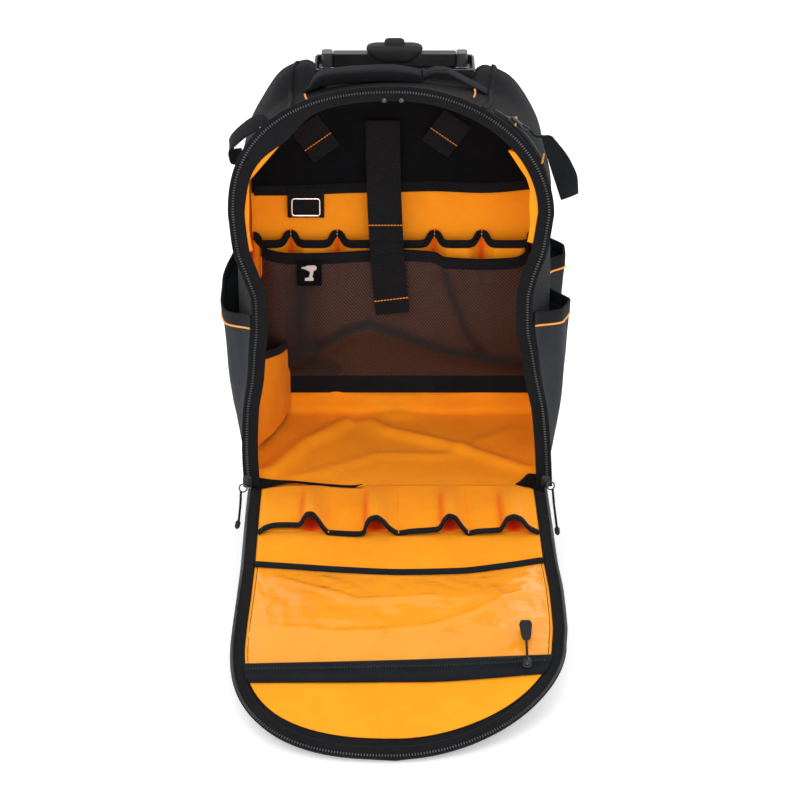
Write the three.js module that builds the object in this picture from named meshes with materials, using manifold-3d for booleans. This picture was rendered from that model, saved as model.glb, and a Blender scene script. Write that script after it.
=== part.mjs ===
// A wheeled tool backpack, standing upright with its front panel unzipped and folded down to the floor.
// Millimetres. +Z is up, the opening faces -Y and +X is on the right of someone who looks into it.
// The origin is the centre of the front foot's underside, on the surface the backpack stands on.
import * as THREE from 'three';
import { mergeVertices } from 'three/addons/utils/BufferGeometryUtils.js';
import Module from 'manifold-3d';

const wasm = await Module();
wasm.setup();

// Driving dimensions of the bag
const openingHalfWidth = 168;
const openingLength = 442;
const openingLean = 36;
const hingeHeight = 90;
const hingeSetback = 22;
const bodyDepth = 206;
const middleHalfWidth = 168;
const backHalfWidth = 163;
const middleTop = 424;
const backTop = 415;
const saddleDepth = 10;
const saddleHalf = 98;
const saddleBlend = 14;
const backCorner = 8;
const clothWall = 2.5;
const liningWall = 1.2;
const floorDrop = 4;

// Driving dimensions of the zips and their tapes
const tapeInside = 13;
const tapeOutside = 6;
const tapeThickness = 2;
const teethWidth = 5;
const teethHeight = 2.5;

// Driving dimensions of the folded front panel, which shares the opening's length
const flapThickness = 5;
const flapStartSlope = 3;
const flapEndSlope = 22.3;
const flapSlopePower = 1.4;
const flapBorder = 13;
const flapTipBorder = 23;
const frontPocketDepth = 34;
const frontPocketInset = 7;
const frontPocketStart = 26;
const frontPocketEnd = 400;
const flapPocketCount = 4;
const flapPocketLength = 96;
const flapPocketArch = 19;
const flapPocketArchPlace = 0.73;
const flapPocketArchWidth = 0.42;
const windowStart = 165;
const windowEnd = 312;
const windowBulge = 5;
const windowSheet = 1;
const zipBandWidth = 32;
const zipBandHeight = 3;
const bandSliderShare = 0.78;
const pullLength = 46;
const gripLength = 26;

// Driving dimensions of the pieces on the inside of the back, heights above the hinge line
const organizerTop = 267;
const organizerBottom = 150;
const organizerThickness = 2;
const wallPanelThickness = 4;
const wallPanelDrop = 26;
const wallBandWidth = 12;
const wallPocketTop = 219;
const wallPocketBottom = 158;
const wallPocketArch = 13;
const wallPocketCount = 3;
const wallPocketSpread = 3;
const meshTop = 206;
const meshBottom = 47;
const meshStand = 22;
const meshThickness = 1.2;
const meshBindingWidth = 13;
const lowerBandWidth = 20;
const strapWidth = 38;
const strapTop = 354;
const strapEnd = 134;
const strapThickness = 2.4;
const strapCentre = -15;
const strapDrift = 11;
const tabLength = 54;
const tabWidth = 25;
const tabDrop = 52;
const tabSpread = 65;
const tabTilt = 50;
const clipCentre = -101;
const clipHang = 16;
const clipWidth = 30;
const clipDrop = 22;
const clipTabWidth = 36;
const clipTabLength = 29;
const clipWire = 2;
const badgeWidth = 26;
const badgeLength = 30;
const badgeCentre = -98;
const badgeHeight = 172;
const innerPocketHeight = 104;
const innerPocketStand = 31;

// Driving dimensions of the pockets and loops on the outside
const sidePocketStand = 24;
const sidePocketWall = 2;
const webbing = 25;
const webbingThickness = 1.8;
const sideLoopReach = 18;
const pullLoopReach = 30;
const rearSliderLength = 22;
const rearSliderRise = 8;
const rearSliderWidth = 14;
const rearSliderHeight = 7;
const carryHalfLength = 98;
const carryRise = 19;
const carryThickness = 15;

// Driving dimensions of the wheels, base and pull handle
const wheelRadius = 38;
const wheelWidth = 24;
const wheelCentreX = 146;
const wheelSetback = 6;
const hubRadius = 27;
const axleRadius = 4;
const axleClearance = 0.3;
const wheelClearance = 4;
const housingWall = 3;
const housingArc = 75;
const baseHalfWidth = 158;
const baseWall = 3;
const footHeight = 12;
const footDepth = 30;
const footHalfLength = 112;
const trolleyCentre = -2;
const postSpread = 74;
const railWidth = 18;
const railDepth = 13;
const tubeWall = 1.4;
const tubeClearance = 0.35;
const tubeStop = 8;
const bracketHeight = 10;
const postWidth = 12;
const postDepth = 17;
const gripWidth = 62;
const gripHeight = 22;
const gripDepth = 23;
const barDepth = 15;
const handleHeight = 14;
const buttonWidth = 25;
const buttonDepth = 11;
const buttonRise = 5;
const buttonTravel = 3.5;
const cupWall = 3;
const cupDepth = 41;
const cupLip = 8;
const cupSetback = 1.5;
const padHalfWidth = 138;
const padThickness = 10;
const padClearance = 29;
const padRise = 22;
const padBottom = 26;
const shoulderWidth = 58;
const shoulderThickness = 11;
const shoulderStand = 16;

// Pieces that are sewn, glued or pressed together in reality keep this space between their solids
const seam = 0.4;
const crownSteps = 6;

// Places worked out from the driving dimensions
const lean = Math.asin(openingLean / openingLength);
const hingeY = -hingeSetback;
const backY = hingeY + bodyDepth;
const bodyBottom = hingeHeight - floorDrop;
const liningFace = backY - clothWall - seam - liningWall;
const wheelY = backY - wheelSetback;

// Half widths of the opening's zip line from the hinge to where its crown starts
const openingRows = [
  { up: 0, left: 0.955, right: 0.98 },
  { up: 0.1, left: 0.965, right: 0.966 },
  { up: 0.2, left: 0.954, right: 0.942 },
  { up: 0.29, left: 0.917, right: 0.893 },
  { up: 0.35, left: 0.905, right: 0.866 },
  { up: 0.42, left: 0.888, right: 0.835 },
  { up: 0.48, left: 0.89, right: 0.833 },
  { up: 0.54, left: 0.937, right: 0.862 },
  { up: 0.61, left: 1, right: 0.925 },
  { up: 0.7, left: 1.027, right: 0.962 },
];
const crownStart = openingRows[openingRows.length - 1].up;

// Half widths of the folded panel, whose edge takes the same zip
const flapRows = [
  { up: 0, left: 0.949, right: 0.965 },
  { up: 0.17, left: 0.952, right: 0.978 },
  { up: 0.34, left: 0.953, right: 0.992 },
  { up: 0.48, left: 0.963, right: 1.018 },
  { up: 0.6, left: 0.977, right: 1.024 },
  { up: 0.66, left: 0.982, right: 1.012 },
];

// How square each crown is: 2 is an ellipse and larger is squarer
const squareness = {
  opening: { left: 2.35, right: 1.95 },
  flap: { left: 2.6, right: 1.85 },
  middle: { left: 2.4, right: 2.4 },
  back: { left: 3.2, right: 3.2 },
};

// The soft body isn't the same on both sides: how full each side is behind the opening
const fullness = { left: 1.03, right: 1 };

// Shares of the body's middle half width, which draws in towards the base
const middleRows = [
  { up: 0, share: 0.94 },
  { up: 0.08, share: 0.965 },
  { up: 0.24, share: 1 },
  { up: crownStart, share: 1 },
];

// Small tools for numbers and points

function mix(a, b, t) {
  return a + (b - a) * t;
}

function clamp01(t) {
  return Math.min(1, Math.max(0, t));
}

function smooth(t) {
  const c = clamp01(t);
  return c * c * (3 - 2 * c);
}

// Rises from 0 at both ends of 0..1 to 1, each rise taking this share of the length.
function plateau(t, rise) {
  return smooth(t / rise) * smooth((1 - t) / rise);
}

function point(x, y, z) {
  return new THREE.Vector3(x, y, z);
}

function steps(count) {
  return Array.from({ length: count + 1 }, (_, i) => i / count);
}

// A table's column at a height share, straight between its rows.
function column(rows, key, up) {
  const last = rows[rows.length - 1];
  if (up >= last.up) return last[key];
  const i = Math.max(1, rows.findIndex((row) => row.up > up));
  const [a, b] = [rows[i - 1], rows[i]];
  return mix(a[key], b[key], clamp01((up - a.up) / (b.up - a.up)));
}

// Half width of an outline that ends in a rounded crown of the given squareness.
function crownHalf(base, up, start, end, power) {
  if (up <= start) return base;
  const rise = Math.min(1, (up - start) / (end - start));
  return base * Math.pow(1 - Math.pow(rise, power), 1 / power);
}

// Height shares of an outline: its table's rows, then a crown's steps that close up towards the top.
function stations(rows) {
  const start = rows[rows.length - 1].up;
  const crown = steps(crownSteps).slice(1);
  const share = (t) => start + (1 - start) * Math.pow(Math.sin((t * Math.PI) / 2), 0.88);
  return [...rows.map((row) => row.up), ...crown.map(share)];
}

// Small tools for solids

// Turns the shared vertices of a closed mesh into a geometry with its faces outwards.
function closed(positions, triangles) {
  const geometry = new THREE.BufferGeometry();
  const flat = positions.flatMap((p) => [p.x, p.y, p.z]);
  geometry.setAttribute('position', new THREE.Float32BufferAttribute(flat, 3));
  let volume = 0;
  for (const [a, b, c] of triangles) {
    volume += positions[a].dot(positions[b].clone().cross(positions[c]));
  }
  const facing = volume > 0 ? triangles : triangles.map(([a, b, c]) => [a, c, b]);
  geometry.setIndex(facing.flat());
  return geometry;
}

// A wall between two grids of points. loop joins each row's ends, cap closes the last row at its centre.
function wall(outer, inner, { loop = false, cap = false } = {}) {
  const rows = outer.length;
  const columns = outer[0].length;
  const positions = [...outer.flat(), ...inner.flat()];
  const side = rows * columns;
  const triangles = [];
  const at = (face, j, i) => face * side + j * columns + (i % columns);
  const across = loop ? columns : columns - 1;
  for (let j = 0; j < rows - 1; j++) {
    for (let i = 0; i < across; i++) {
      const q = [at(0, j, i), at(0, j, i + 1), at(0, j + 1, i + 1), at(0, j + 1, i)];
      const r = q.map((index) => index + side);
      triangles.push([q[0], q[1], q[2]], [q[0], q[2], q[3]]);
      triangles.push([r[0], r[2], r[1]], [r[0], r[3], r[2]]);
    }
  }
  const rim = (a, b) => triangles.push([a, a + side, b + side], [a, b + side, b]);
  for (let i = 0; i < across; i++) {
    rim(at(0, 0, i), at(0, 0, i + 1));
    if (!cap) rim(at(0, rows - 1, i + 1), at(0, rows - 1, i));
  }
  if (!loop) {
    for (let j = 0; j < rows - 1; j++) {
      rim(at(0, j + 1, 0), at(0, j, 0));
      rim(at(0, j, columns - 1), at(0, j + 1, columns - 1));
    }
  }
  if (cap) {
    for (const face of [0, 1]) {
      const centre = positions.length;
      const ring = (face ? inner : outer)[rows - 1];
      positions.push(ring.reduce((sum, p) => sum.add(p), point(0, 0, 0)).divideScalar(columns));
      for (let i = 0; i < columns; i++) {
        const [a, b] = [at(face, rows - 1, i), at(face, rows - 1, i + 1)];
        triangles.push(face ? [b, a, centre] : [a, b, centre]);
      }
    }
  }
  return closed(positions, triangles);
}

// A sheet with its two faces given as functions of two shares, u across and v along.
function sheet(outerFace, innerFace, columns, rows) {
  const grid = (face) => steps(rows).map((v) => steps(columns).map((u) => face(u, v)));
  return wall(grid(outerFace), grid(innerFace));
}

// A closed profile carried along a path. frame(t) gives a centre and two directions for the profile.
function sweep(frame, profile, count, loop = false) {
  const shares = loop ? steps(count).slice(0, -1) : steps(count);
  const rings = shares.map((t) => {
    const { centre, across, up } = frame(t);
    const lift = ([a, b]) => centre.clone().addScaledVector(across, a).addScaledVector(up, b);
    return profile.map(lift);
  });
  const n = profile.length;
  const positions = rings.flat();
  const triangles = [];
  const spans = loop ? rings.length : rings.length - 1;
  for (let j = 0; j < spans; j++) {
    const k = (j + 1) % rings.length;
    for (let i = 0; i < n; i++) {
      const m = (i + 1) % n;
      triangles.push([j * n + i, j * n + m, k * n + m], [j * n + i, k * n + m, k * n + i]);
    }
  }
  if (!loop) {
    const faces = THREE.ShapeUtils.triangulateShape(profile.map(([a, b]) => new THREE.Vector2(a, b)), []);
    const last = (rings.length - 1) * n;
    for (const [a, b, c] of faces) {
      triangles.push([a, c, b], [last + a, last + b, last + c]);
    }
  }
  return closed(positions, triangles);
}

// Directions along a smooth curve, with the profile's second direction kept near a given one.
function along(curve, upwards) {
  return (t) => {
    const centre = curve.getPointAt(t);
    const tangent = curve.getTangentAt(t);
    const across = tangent.clone().cross(upwards).normalize();
    return { centre, across, up: across.clone().cross(tangent).normalize() };
  };
}

function smoothPath(points) {
  return new THREE.CatmullRomCurve3(points.map((p) => point(...p)), false, 'centripetal');
}

function round(radius, sides) {
  return steps(sides).slice(0, -1).map((t) => {
    const angle = 2 * Math.PI * t;
    return [radius * Math.cos(angle), radius * Math.sin(angle)];
  });
}

// A rectangle with its corners cut at 45 degrees or, with more steps, rounded.
function softRectangle(width, height, corner, cuts = 1) {
  const [a, b] = [width / 2 - corner, height / 2 - corner];
  const centres = [[a, b], [-a, b], [-a, -b], [a, -b]];
  return centres.flatMap(([x, y], quarter) =>
    steps(cuts).map((t) => {
      const angle = ((quarter + t) * Math.PI) / 2;
      return [x + corner * Math.cos(angle), y + corner * Math.sin(angle)];
    }));
}

// A block between two corners, its four upright edges softened.
function block(low, high, corner = 1) {
  const outline = softRectangle(high[0] - low[0], high[1] - low[1], corner);
  const shape = new THREE.Shape(outline.map(([a, b]) => new THREE.Vector2(a, b)));
  const geometry = new THREE.ExtrudeGeometry(shape, { depth: high[2] - low[2], bevelEnabled: false });
  return geometry.translate((low[0] + high[0]) / 2, (low[1] + high[1]) / 2, low[2]);
}

// An outline in Y and Z, extruded along X between two places.
function extrudeAlongX(outline, from, to) {
  const shape = new THREE.Shape(outline.map(([y, z]) => new THREE.Vector2(y, z)));
  const geometry = new THREE.ExtrudeGeometry(shape, { depth: to - from, bevelEnabled: false });
  const turn = new THREE.Matrix4().makeBasis(point(0, 1, 0), point(0, 0, 1), point(1, 0, 0));
  return geometry.applyMatrix4(turn).translate(from, 0, 0);
}

// A turned piece: its profile of radius and distance runs from axis to axis, or closes on itself.
function turnedAlongX(profile, centre, segments) {
  const geometry = new THREE.LatheGeometry(profile.map(([r, a]) => new THREE.Vector2(r, a)), segments);
  return geometry.rotateZ(-Math.PI / 2).translate(...centre);
}

function solid(geometry) {
  const bare = geometry.clone();
  bare.deleteAttribute('normal');
  bare.deleteAttribute('uv');
  const merged = mergeVertices(bare, 1e-4);
  const triVerts = new Uint32Array(merged.index.array);
  const vertProperties = merged.attributes.position.array;
  return new wasm.Manifold(new wasm.Mesh({ numProp: 3, vertProperties, triVerts }));
}

function geometryOf(manifold) {
  const mesh = manifold.getMesh();
  const geometry = new THREE.BufferGeometry();
  geometry.setAttribute('position', new THREE.BufferAttribute(mesh.vertProperties.slice(), 3));
  geometry.setIndex(new THREE.BufferAttribute(mesh.triVerts.slice(), 1));
  return geometry;
}

function joined(...geometries) {
  return geometryOf(geometries.map(solid).reduce((a, b) => a.add(b)));
}

function cut(geometry, ...tools) {
  return geometryOf(tools.map(solid).reduce((a, b) => a.subtract(b), solid(geometry)));
}

// Materials
const finishes = {
  blackCloth: { color: 0x1c1d20, roughness: 0.85, metalness: 0 },
  greyCloth: { color: 0x2d2f33, roughness: 0.85, metalness: 0 },
  orangeCloth: { color: 0xf08c14, roughness: 0.7, metalness: 0 },
  webbing: { color: 0x17181a, roughness: 0.8, metalness: 0 },
  mesh: { color: 0x3a2214, roughness: 0.9, metalness: 0 },
  clear: { color: 0xf0a030, roughness: 0.15, metalness: 0 },
  zip: { color: 0x141416, roughness: 0.55, metalness: 0 },
  plastic: { color: 0x1e1f22, roughness: 0.5, metalness: 0 },
  steel: { color: 0xb9bcc2, roughness: 0.3, metalness: 1 },
  rubber: { color: 0x1a1a1b, roughness: 0.9, metalness: 0 },
};
const materials = Object.fromEntries(
  Object.entries(finishes).map(([name, look]) => [name, new THREE.MeshStandardMaterial({ name, ...look })]));

const backpack = new THREE.Group();
backpack.name = 'tool_backpack';

function piece(name, geometry, finish) {
  const mesh = new THREE.Mesh(geometry, materials[finish]);
  mesh.name = name;
  backpack.add(mesh);
}

const sides = [
  { key: 'left', sign: -1 },
  { key: 'right', sign: 1 },
];

// The bag's body: a bowl on its side, lofted from the leaning zip line to the flat back

const bodyStations = stations(openingRows);
const depthRows = [
  { depth: 0, round: 0 },
  { depth: 0.16, round: 0 },
  { depth: 0.45, round: 0 },
  { depth: 0.7, round: 0 },
  { depth: 0.92, round: 0 },
  { depth: 0.98, round: 0.35 },
  { depth: 1, round: 1 },
];
const middleDepth = 0.45;

// Shares of the front, middle and back outlines at a depth share.
function depthWeights(depth) {
  if (depth < middleDepth) {
    const front = Math.pow(1 - depth / middleDepth, 1.3);
    return { front, middle: 1 - front, back: 0 };
  }
  const back = Math.pow((depth - middleDepth) / (1 - middleDepth), 1.1);
  return { front: 0, middle: 1 - back, back };
}

function openingHalf(side, up, inset = 0) {
  const share = column(openingRows, side.key, Math.min(up, crownStart));
  return crownHalf(openingHalfWidth * share - inset, up, crownStart, 1, squareness.opening[side.key]);
}

// A point of the body's surface on one side: up and depth are shares, inset goes into the bag.
function bodyPoint(side, up, depth, inset = 0) {
  const weight = depthWeights(depth);
  const full = fullness[side.key];
  const middleBase = middleHalfWidth * full * column(middleRows, 'share', up);
  const middle = crownHalf(middleBase - inset, up, crownStart, 1, squareness.middle[side.key]);
  const back = crownHalf(backHalfWidth * full - inset, up, crownStart, 1, squareness.back[side.key]);
  const half = weight.front * openingHalf(side, up, inset) + weight.middle * middle + weight.back * back;
  const frontUp = up * (openingLength - inset);
  const frontTop = openingLength * Math.cos(lean);
  const top = weight.front * frontTop + weight.middle * middleTop + weight.back * backTop;
  const low = bodyBottom + inset;
  const high = hingeHeight + top - inset;
  const y = mix(hingeY + frontUp * Math.sin(lean), backY - inset, depth);
  const inSaddle = smooth((saddleHalf - half) / saddleBlend) * smooth((depth - middleDepth) * 3.4);
  return point(side.sign * half, y, mix(low, high, up) - saddleDepth * inSaddle * up);
}

// One closed ring of the body at a depth share, from the left hinge corner over the crown and back.
function bodyRing(depth, inset) {
  const floorSteps = steps(4).slice(1, -1);
  const left = bodyStations.slice(0, -1).map((up) => bodyPoint(sides[0], up, depth, inset));
  const right = bodyStations.slice(0, -1).map((up) => bodyPoint(sides[1], up, depth, inset));
  const crown = bodyPoint(sides[0], 1, depth, inset);
  crown.x = 0;
  const floor = floorSteps.map((t) => right[0].clone().lerp(left[0], t));
  return [...left, crown, ...right.reverse(), ...floor];
}

// The body's rings from the zip line to the back. The last ones are drawn in, which rounds its rear edge.
function bodyRings(inset, frontGap) {
  return depthRows.map((row, j) => {
    const drawn = row.round * backCorner;
    const ring = bodyRing(row.depth, inset + drawn);
    const shift = drawn * row.depth + (j === 0 ? frontGap : 0);
    return ring.map((p) => p.setY(p.y + shift));
  });
}

piece('body_shell', wall(bodyRings(0, 0), bodyRings(clothWall, 0), { loop: true, cap: true }), 'blackCloth');

const liningInset = clothWall + seam;
const liningRings = bodyRings(liningInset, 1.5);
const liningInner = bodyRings(liningInset + liningWall, 1.5);
piece('orange_lining', wall(liningRings, liningInner, { loop: true, cap: true }), 'orangeCloth');

// Zips: a tape with a raised row of teeth along the edge of the opening and along the panel

const zipProfile = [
  [-tapeInside, seam],
  [tapeOutside, seam],
  [tapeOutside, seam + tapeThickness],
  [teethWidth / 2, seam + tapeThickness],
  [teethWidth / 2 - 0.5, seam + tapeThickness + teethHeight],
  [0.5 - teethWidth / 2, seam + tapeThickness + teethHeight],
  [-teethWidth / 2, seam + tapeThickness],
  [-tapeInside, seam + tapeThickness],
];

const frontNormal = point(0, -Math.cos(lean), Math.sin(lean));

// Point of the leaning front plane, out of it by a distance.
function frontPoint(x, up, out) {
  const base = point(x, hingeY + up * Math.sin(lean), hingeHeight + up * Math.cos(lean));
  return base.addScaledVector(frontNormal, out);
}

// Frames for a profile along a run of edge points, with one outward direction for each of them.
function edgeFrames(points, normals) {
  return (t) => {
    const i = Math.round(t * (points.length - 1));
    const before = points[Math.max(0, i - 1)];
    const after = points[Math.min(points.length - 1, i + 1)];
    const tangent = after.clone().sub(before).normalize();
    const up = normals[i];
    return { centre: points[i], across: up.clone().cross(tangent).normalize(), up };
  };
}

const zipStart = 2.5;
const openingEdge = (side) => bodyStations.slice(0, -1).map((up) =>
  frontPoint(side.sign * openingHalf(side, up), Math.max(zipStart, up * openingLength), 0));
const openingTop = frontPoint(0, openingLength, 0);
const openingLine = [...openingEdge(sides[0]), openingTop, ...openingEdge(sides[1]).reverse()];
const openingNormals = openingLine.map(() => frontNormal);
piece('opening_zip',
  sweep(edgeFrames(openingLine, openingNormals), zipProfile, openingLine.length - 1), 'zip');

// The front panel, hinged on the body's front edge and drooping to the floor

const flapStart = hingeY - seam;
const flapCrownStart = flapRows[flapRows.length - 1].up;

// Height lost, distance gone forward and slope at a length along the panel.
function flapCourse(length) {
  const slope = (s) => {
    const share = Math.pow(clamp01(s / openingLength), flapSlopePower);
    return THREE.MathUtils.degToRad(mix(flapStartSlope, flapEndSlope, share));
  };
  const count = 24;
  let [forward, down] = [0, 0];
  for (let i = 0; i < count; i++) {
    const middle = slope(((i + 0.5) * length) / count);
    forward += (Math.cos(middle) * length) / count;
    down += (Math.sin(middle) * length) / count;
  }
  return { forward, down, slope: slope(length) };
}

function flapNormal(length) {
  const { slope } = flapCourse(length);
  return point(0, -Math.sin(slope), Math.cos(slope));
}

// Point of the panel's inner face, off it by a distance.
function flapPoint(x, length, off) {
  const { forward, down } = flapCourse(length);
  return point(x, flapStart - forward, hingeHeight - down).addScaledVector(flapNormal(length), off);
}

function flapHalf(side, length, border = 0, tipBorder = border) {
  const end = openingLength - tipBorder;
  const share = column(flapRows, side.key, Math.min(length / openingLength, flapCrownStart));
  const start = flapCrownStart * openingLength;
  return crownHalf(openingHalfWidth * share - border, length, start, end, squareness.flap[side.key]);
}

// Lengths along the panel at which its sections are taken, up to a last narrow one at the tip.
function flapLengths(start, tipBorder) {
  const end = openingLength - tipBorder;
  const crown = flapCrownStart * openingLength;
  const straight = flapRows.map((row) => Math.max(start, row.up * openingLength));
  const share = (t) => crown + (end - crown) * Math.pow(Math.sin((t * Math.PI) / 2), 0.88);
  return [...straight, ...steps(crownSteps).slice(1, -1).map(share), end - 0.6];
}

// A layer of the panel between two distances off its inner face.
function flapLayer(start, border, tipBorder, high, low, columns) {
  const lengths = flapLengths(start, tipBorder);
  const grid = (off) => lengths.map((length) => steps(columns).map((u) => {
    const left = -flapHalf(sides[0], length, border, tipBorder);
    const right = flapHalf(sides[1], length, border, tipBorder);
    return flapPoint(mix(left, right, u), length, off);
  }));
  return wall(grid(high), grid(low));
}

piece('flap_panel', flapLayer(0, 0, 0, 0, -flapThickness, 6), 'blackCloth');
piece('flap_lining', flapLayer(1, flapBorder, flapTipBorder, seam + liningWall, seam, 6), 'orangeCloth');

const flapZipStart = 8;
const flapEdgeLengths = flapLengths(flapZipStart, 0).slice(0, -1);
const flapEdge = (side) =>
  flapEdgeLengths.map((length) => flapPoint(side.sign * flapHalf(side, length), length, 0));
const flapLine = [...flapEdge(sides[0]), flapPoint(0, openingLength, 0), ...flapEdge(sides[1]).reverse()];
const flapNormals = [...flapEdgeLengths, openingLength, ...[...flapEdgeLengths].reverse()].map(flapNormal);
const flapTapeInside = flapBorder - 1;
const flapTapeOutside = teethWidth / 2 + 1;
const flapZipProfile = zipProfile
  .map(([a, b]) => [a < -teethWidth ? flapTapeInside : -Math.min(a, flapTapeOutside), b])
  .reverse();
piece('flap_zip', sweep(edgeFrames(flapLine, flapNormals), flapZipProfile, flapLine.length - 1), 'zip');

// The pocket on the panel's outer face, which is underneath while the panel lies open
const floorGap = 0.5;
function frontPocketFace(skin) {
  return (u, v) => {
    const length = mix(frontPocketStart, frontPocketEnd, v);
    const left = -flapHalf(sides[0], length, frontPocketInset);
    const right = flapHalf(sides[1], length, frontPocketInset);
    const under = hingeHeight - flapCourse(length).down - flapThickness;
    const room = under - floorGap - clothWall - 2 * seam;
    const deep = Math.min(frontPocketDepth, room) * plateau(u, 0.14) * plateau(v, 0.12);
    return flapPoint(mix(left, right, u), length, -flapThickness - seam - Math.max(0, deep) - skin);
  };
}
piece('front_pocket', sheet(frontPocketFace(0), frontPocketFace(clothWall), 8, 8), 'blackCloth');

const panelFace = seam + liningWall + seam;

// Tool pockets at the hinge end of the panel, a sheet arched once for each pocket and open at its far edge
function flapPocketFace(skin) {
  return (u, v) => {
    const place = ((u * flapPocketCount) % 1) - flapPocketArchPlace;
    const arch = smooth(1 - Math.abs(place) / (flapPocketArchWidth / 2));
    const length = mix(3, flapPocketLength, v);
    const left = -flapHalf(sides[0], length, flapBorder + 1);
    const right = flapHalf(sides[1], length, flapBorder + 1);
    const high = flapPocketArch * arch * Math.pow(v, 1.2) + 1.5 * plateau(v, 0.4);
    return flapPoint(mix(left, right, u), length, panelFace + high + skin);
  };
}
piece('flap_tool_pockets', sheet(flapPocketFace(clothWall - 1), flapPocketFace(0), 9 * flapPocketCount, 3),
  'orangeCloth');

const stripInset = 2.5;
function flapStripFace(start, end, off) {
  return (u, v) => {
    const length = mix(start, end, v);
    const left = -flapHalf(sides[0], length, flapBorder + stripInset);
    const right = flapHalf(sides[1], length, flapBorder + stripInset);
    return flapPoint(mix(left, right, u), length, panelFace + off(u, v));
  };
}
const windowRise = (u, v) => windowBulge * plateau(u, 0.3) * plateau(v, 0.4);
piece('window_pocket', sheet(
  flapStripFace(windowStart, windowEnd, (u, v) => windowRise(u, v) + windowSheet),
  flapStripFace(windowStart, windowEnd, windowRise), 10, 5), 'clear');
const bandStart = windowEnd + seam;
piece('flap_zip_band', sheet(
  flapStripFace(bandStart, bandStart + zipBandWidth, () => zipBandHeight),
  flapStripFace(bandStart, bandStart + zipBandWidth, () => 0), 6, 1), 'zip');

// The band's slider and its ribbed pull, which lies over the clear pocket
const sliderX = openingHalfWidth * bandSliderShare;
const sliderLength = bandStart + 4;
const panelFrame = (x, length, off) => {
  const { slope } = flapCourse(length);
  return new THREE.Matrix4().makeTranslation(...flapPoint(x, length, off)).multiply(
    new THREE.Matrix4().makeRotationX(slope));
};
const sliderHalf = 7;
const pullOff = panelFace + windowBulge + windowSheet + 1;
const sliderOff = panelFace + zipBandHeight + seam;
const sliderBody = block([-5, -sliderHalf, 0], [5, sliderHalf, pullOff + 3.4 - sliderOff], 2);
const pullStem = block([-1.6, 0, 1.4], [1.6, pullLength - gripLength + 6, 3.4], 0.8);
const pullGrip = block([-5, pullLength - gripLength, 0.4], [5, pullLength, 5.4], 3);
const sliderPlace = panelFrame(sliderX, sliderLength + sliderHalf, sliderOff);
piece('flap_zip_slider', sliderBody.applyMatrix4(sliderPlace), 'plastic');
const pullPlace = panelFrame(sliderX, sliderLength - seam, pullOff);
piece('flap_zip_puller', joined(pullStem, pullGrip).applyMatrix4(pullPlace), 'rubber');

// Pieces on the inside of the back. stand is a distance out from the lining's face, towards the opening.

function wallHalf(side, height, clearance) {
  const inset = liningInset + liningWall + clearance + backCorner;
  const up = (height + floorDrop + inset) / (backTop + floorDrop);
  return crownHalf(backHalfWidth * fullness[side.key] - inset, up, crownStart, 1, squareness.back[side.key]);
}

function wallPoint(x, height, stand) {
  return point(x, liningFace - stand, hingeHeight + height);
}

function wallSheet(bottom, top, clearance, stand, thickness, columns, rows) {
  const face = (skin) => (u, v) => {
    const height = mix(bottom, top, v);
    const left = -wallHalf(sides[0], height, clearance);
    const right = wallHalf(sides[1], height, clearance);
    return wallPoint(mix(left, right, u), height, stand(u, v) + skin);
  };
  return sheet(face(thickness), face(0), columns, rows);
}

const wallTop = backTop - wallPanelDrop;
piece('upper_wall_panel',
  wallSheet(organizerTop + seam, wallTop, 1, () => seam, wallPanelThickness, 4, 6), 'blackCloth');
const panelFront = seam + wallPanelThickness;
const bandLow = organizerTop + 1;
piece('wall_band',
  wallSheet(bandLow, bandLow + wallBandWidth, 1, () => panelFront + seam, 2, 2, 1), 'webbing');
piece('organizer_panel',
  wallSheet(organizerBottom, organizerTop, 1, () => seam, organizerThickness, 2, 1), 'orangeCloth');

const pocketStand = seam + organizerThickness + seam;
const pocketGap = strapWidth / 2 - 6;
const pocketMargin = 9;

// Three arched pockets in one strip between the wall's side and the centre strap.
function wallPocketFace(side, skin) {
  return (u, v) => {
    const arch = Math.pow(Math.sin(Math.PI * ((u * wallPocketCount) % 1)), 0.7);
    const height = mix(wallPocketBottom, wallPocketTop - 9 * arch, v);
    const near = strapCentre + side.sign * pocketGap;
    const far = side.sign * wallHalf(side, height, pocketMargin);
    const stand = pocketStand + wallPocketArch * arch * smooth(v * wallPocketSpread);
    return wallPoint(mix(near, far, u), height, stand + skin);
  };
}
for (const side of sides) {
  const strip = sheet(wallPocketFace(side, 1.6), wallPocketFace(side, 0), 6 * wallPocketCount, 4);
  piece(`wall_pockets_${side.key}`, strip, 'orangeCloth');
}

// The mesh pocket stands off the wall at its top and is sewn down at its sides and foot.
const meshRise = (u, v) =>
  pocketStand + meshStand * Math.pow(plateau(u, 0.09), 0.6) * Math.pow(smooth(v * 2), 0.8);
piece('mesh_pocket', wallSheet(meshBottom, meshTop, 1, meshRise, meshThickness, 14, 5), 'mesh');
const bindingRise = (u) => meshRise(u, 1) + meshThickness + seam;
piece('mesh_binding',
  wallSheet(meshTop - meshBindingWidth, meshTop, 1, bindingRise, 1.4, 14, 1), 'webbing');
piece('lower_band',
  wallSheet(meshBottom - seam - lowerBandWidth, meshBottom - seam, 1, () => seam, 2, 2, 1), 'webbing');

// The centre strap is sewn to the upper panel and hangs free over the pockets.
const strapClear = meshStand + pocketStand + meshThickness + 1.4 + 3 * seam;
function strapFace(skin) {
  return (u, v) => {
    const height = mix(strapTop, strapEnd, v);
    const down = clamp01((strapTop - height) / (strapTop - meshTop));
    const stand = mix(panelFront + seam, strapClear, smooth(down * 1.15));
    const drift = strapDrift * Math.pow(v, 2);
    return wallPoint(strapCentre + drift + (u - 0.5) * strapWidth, height, stand + skin);
  };
}
piece('centre_strap', sheet(strapFace(strapThickness), strapFace(0), 2, 9), 'webbing');

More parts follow.
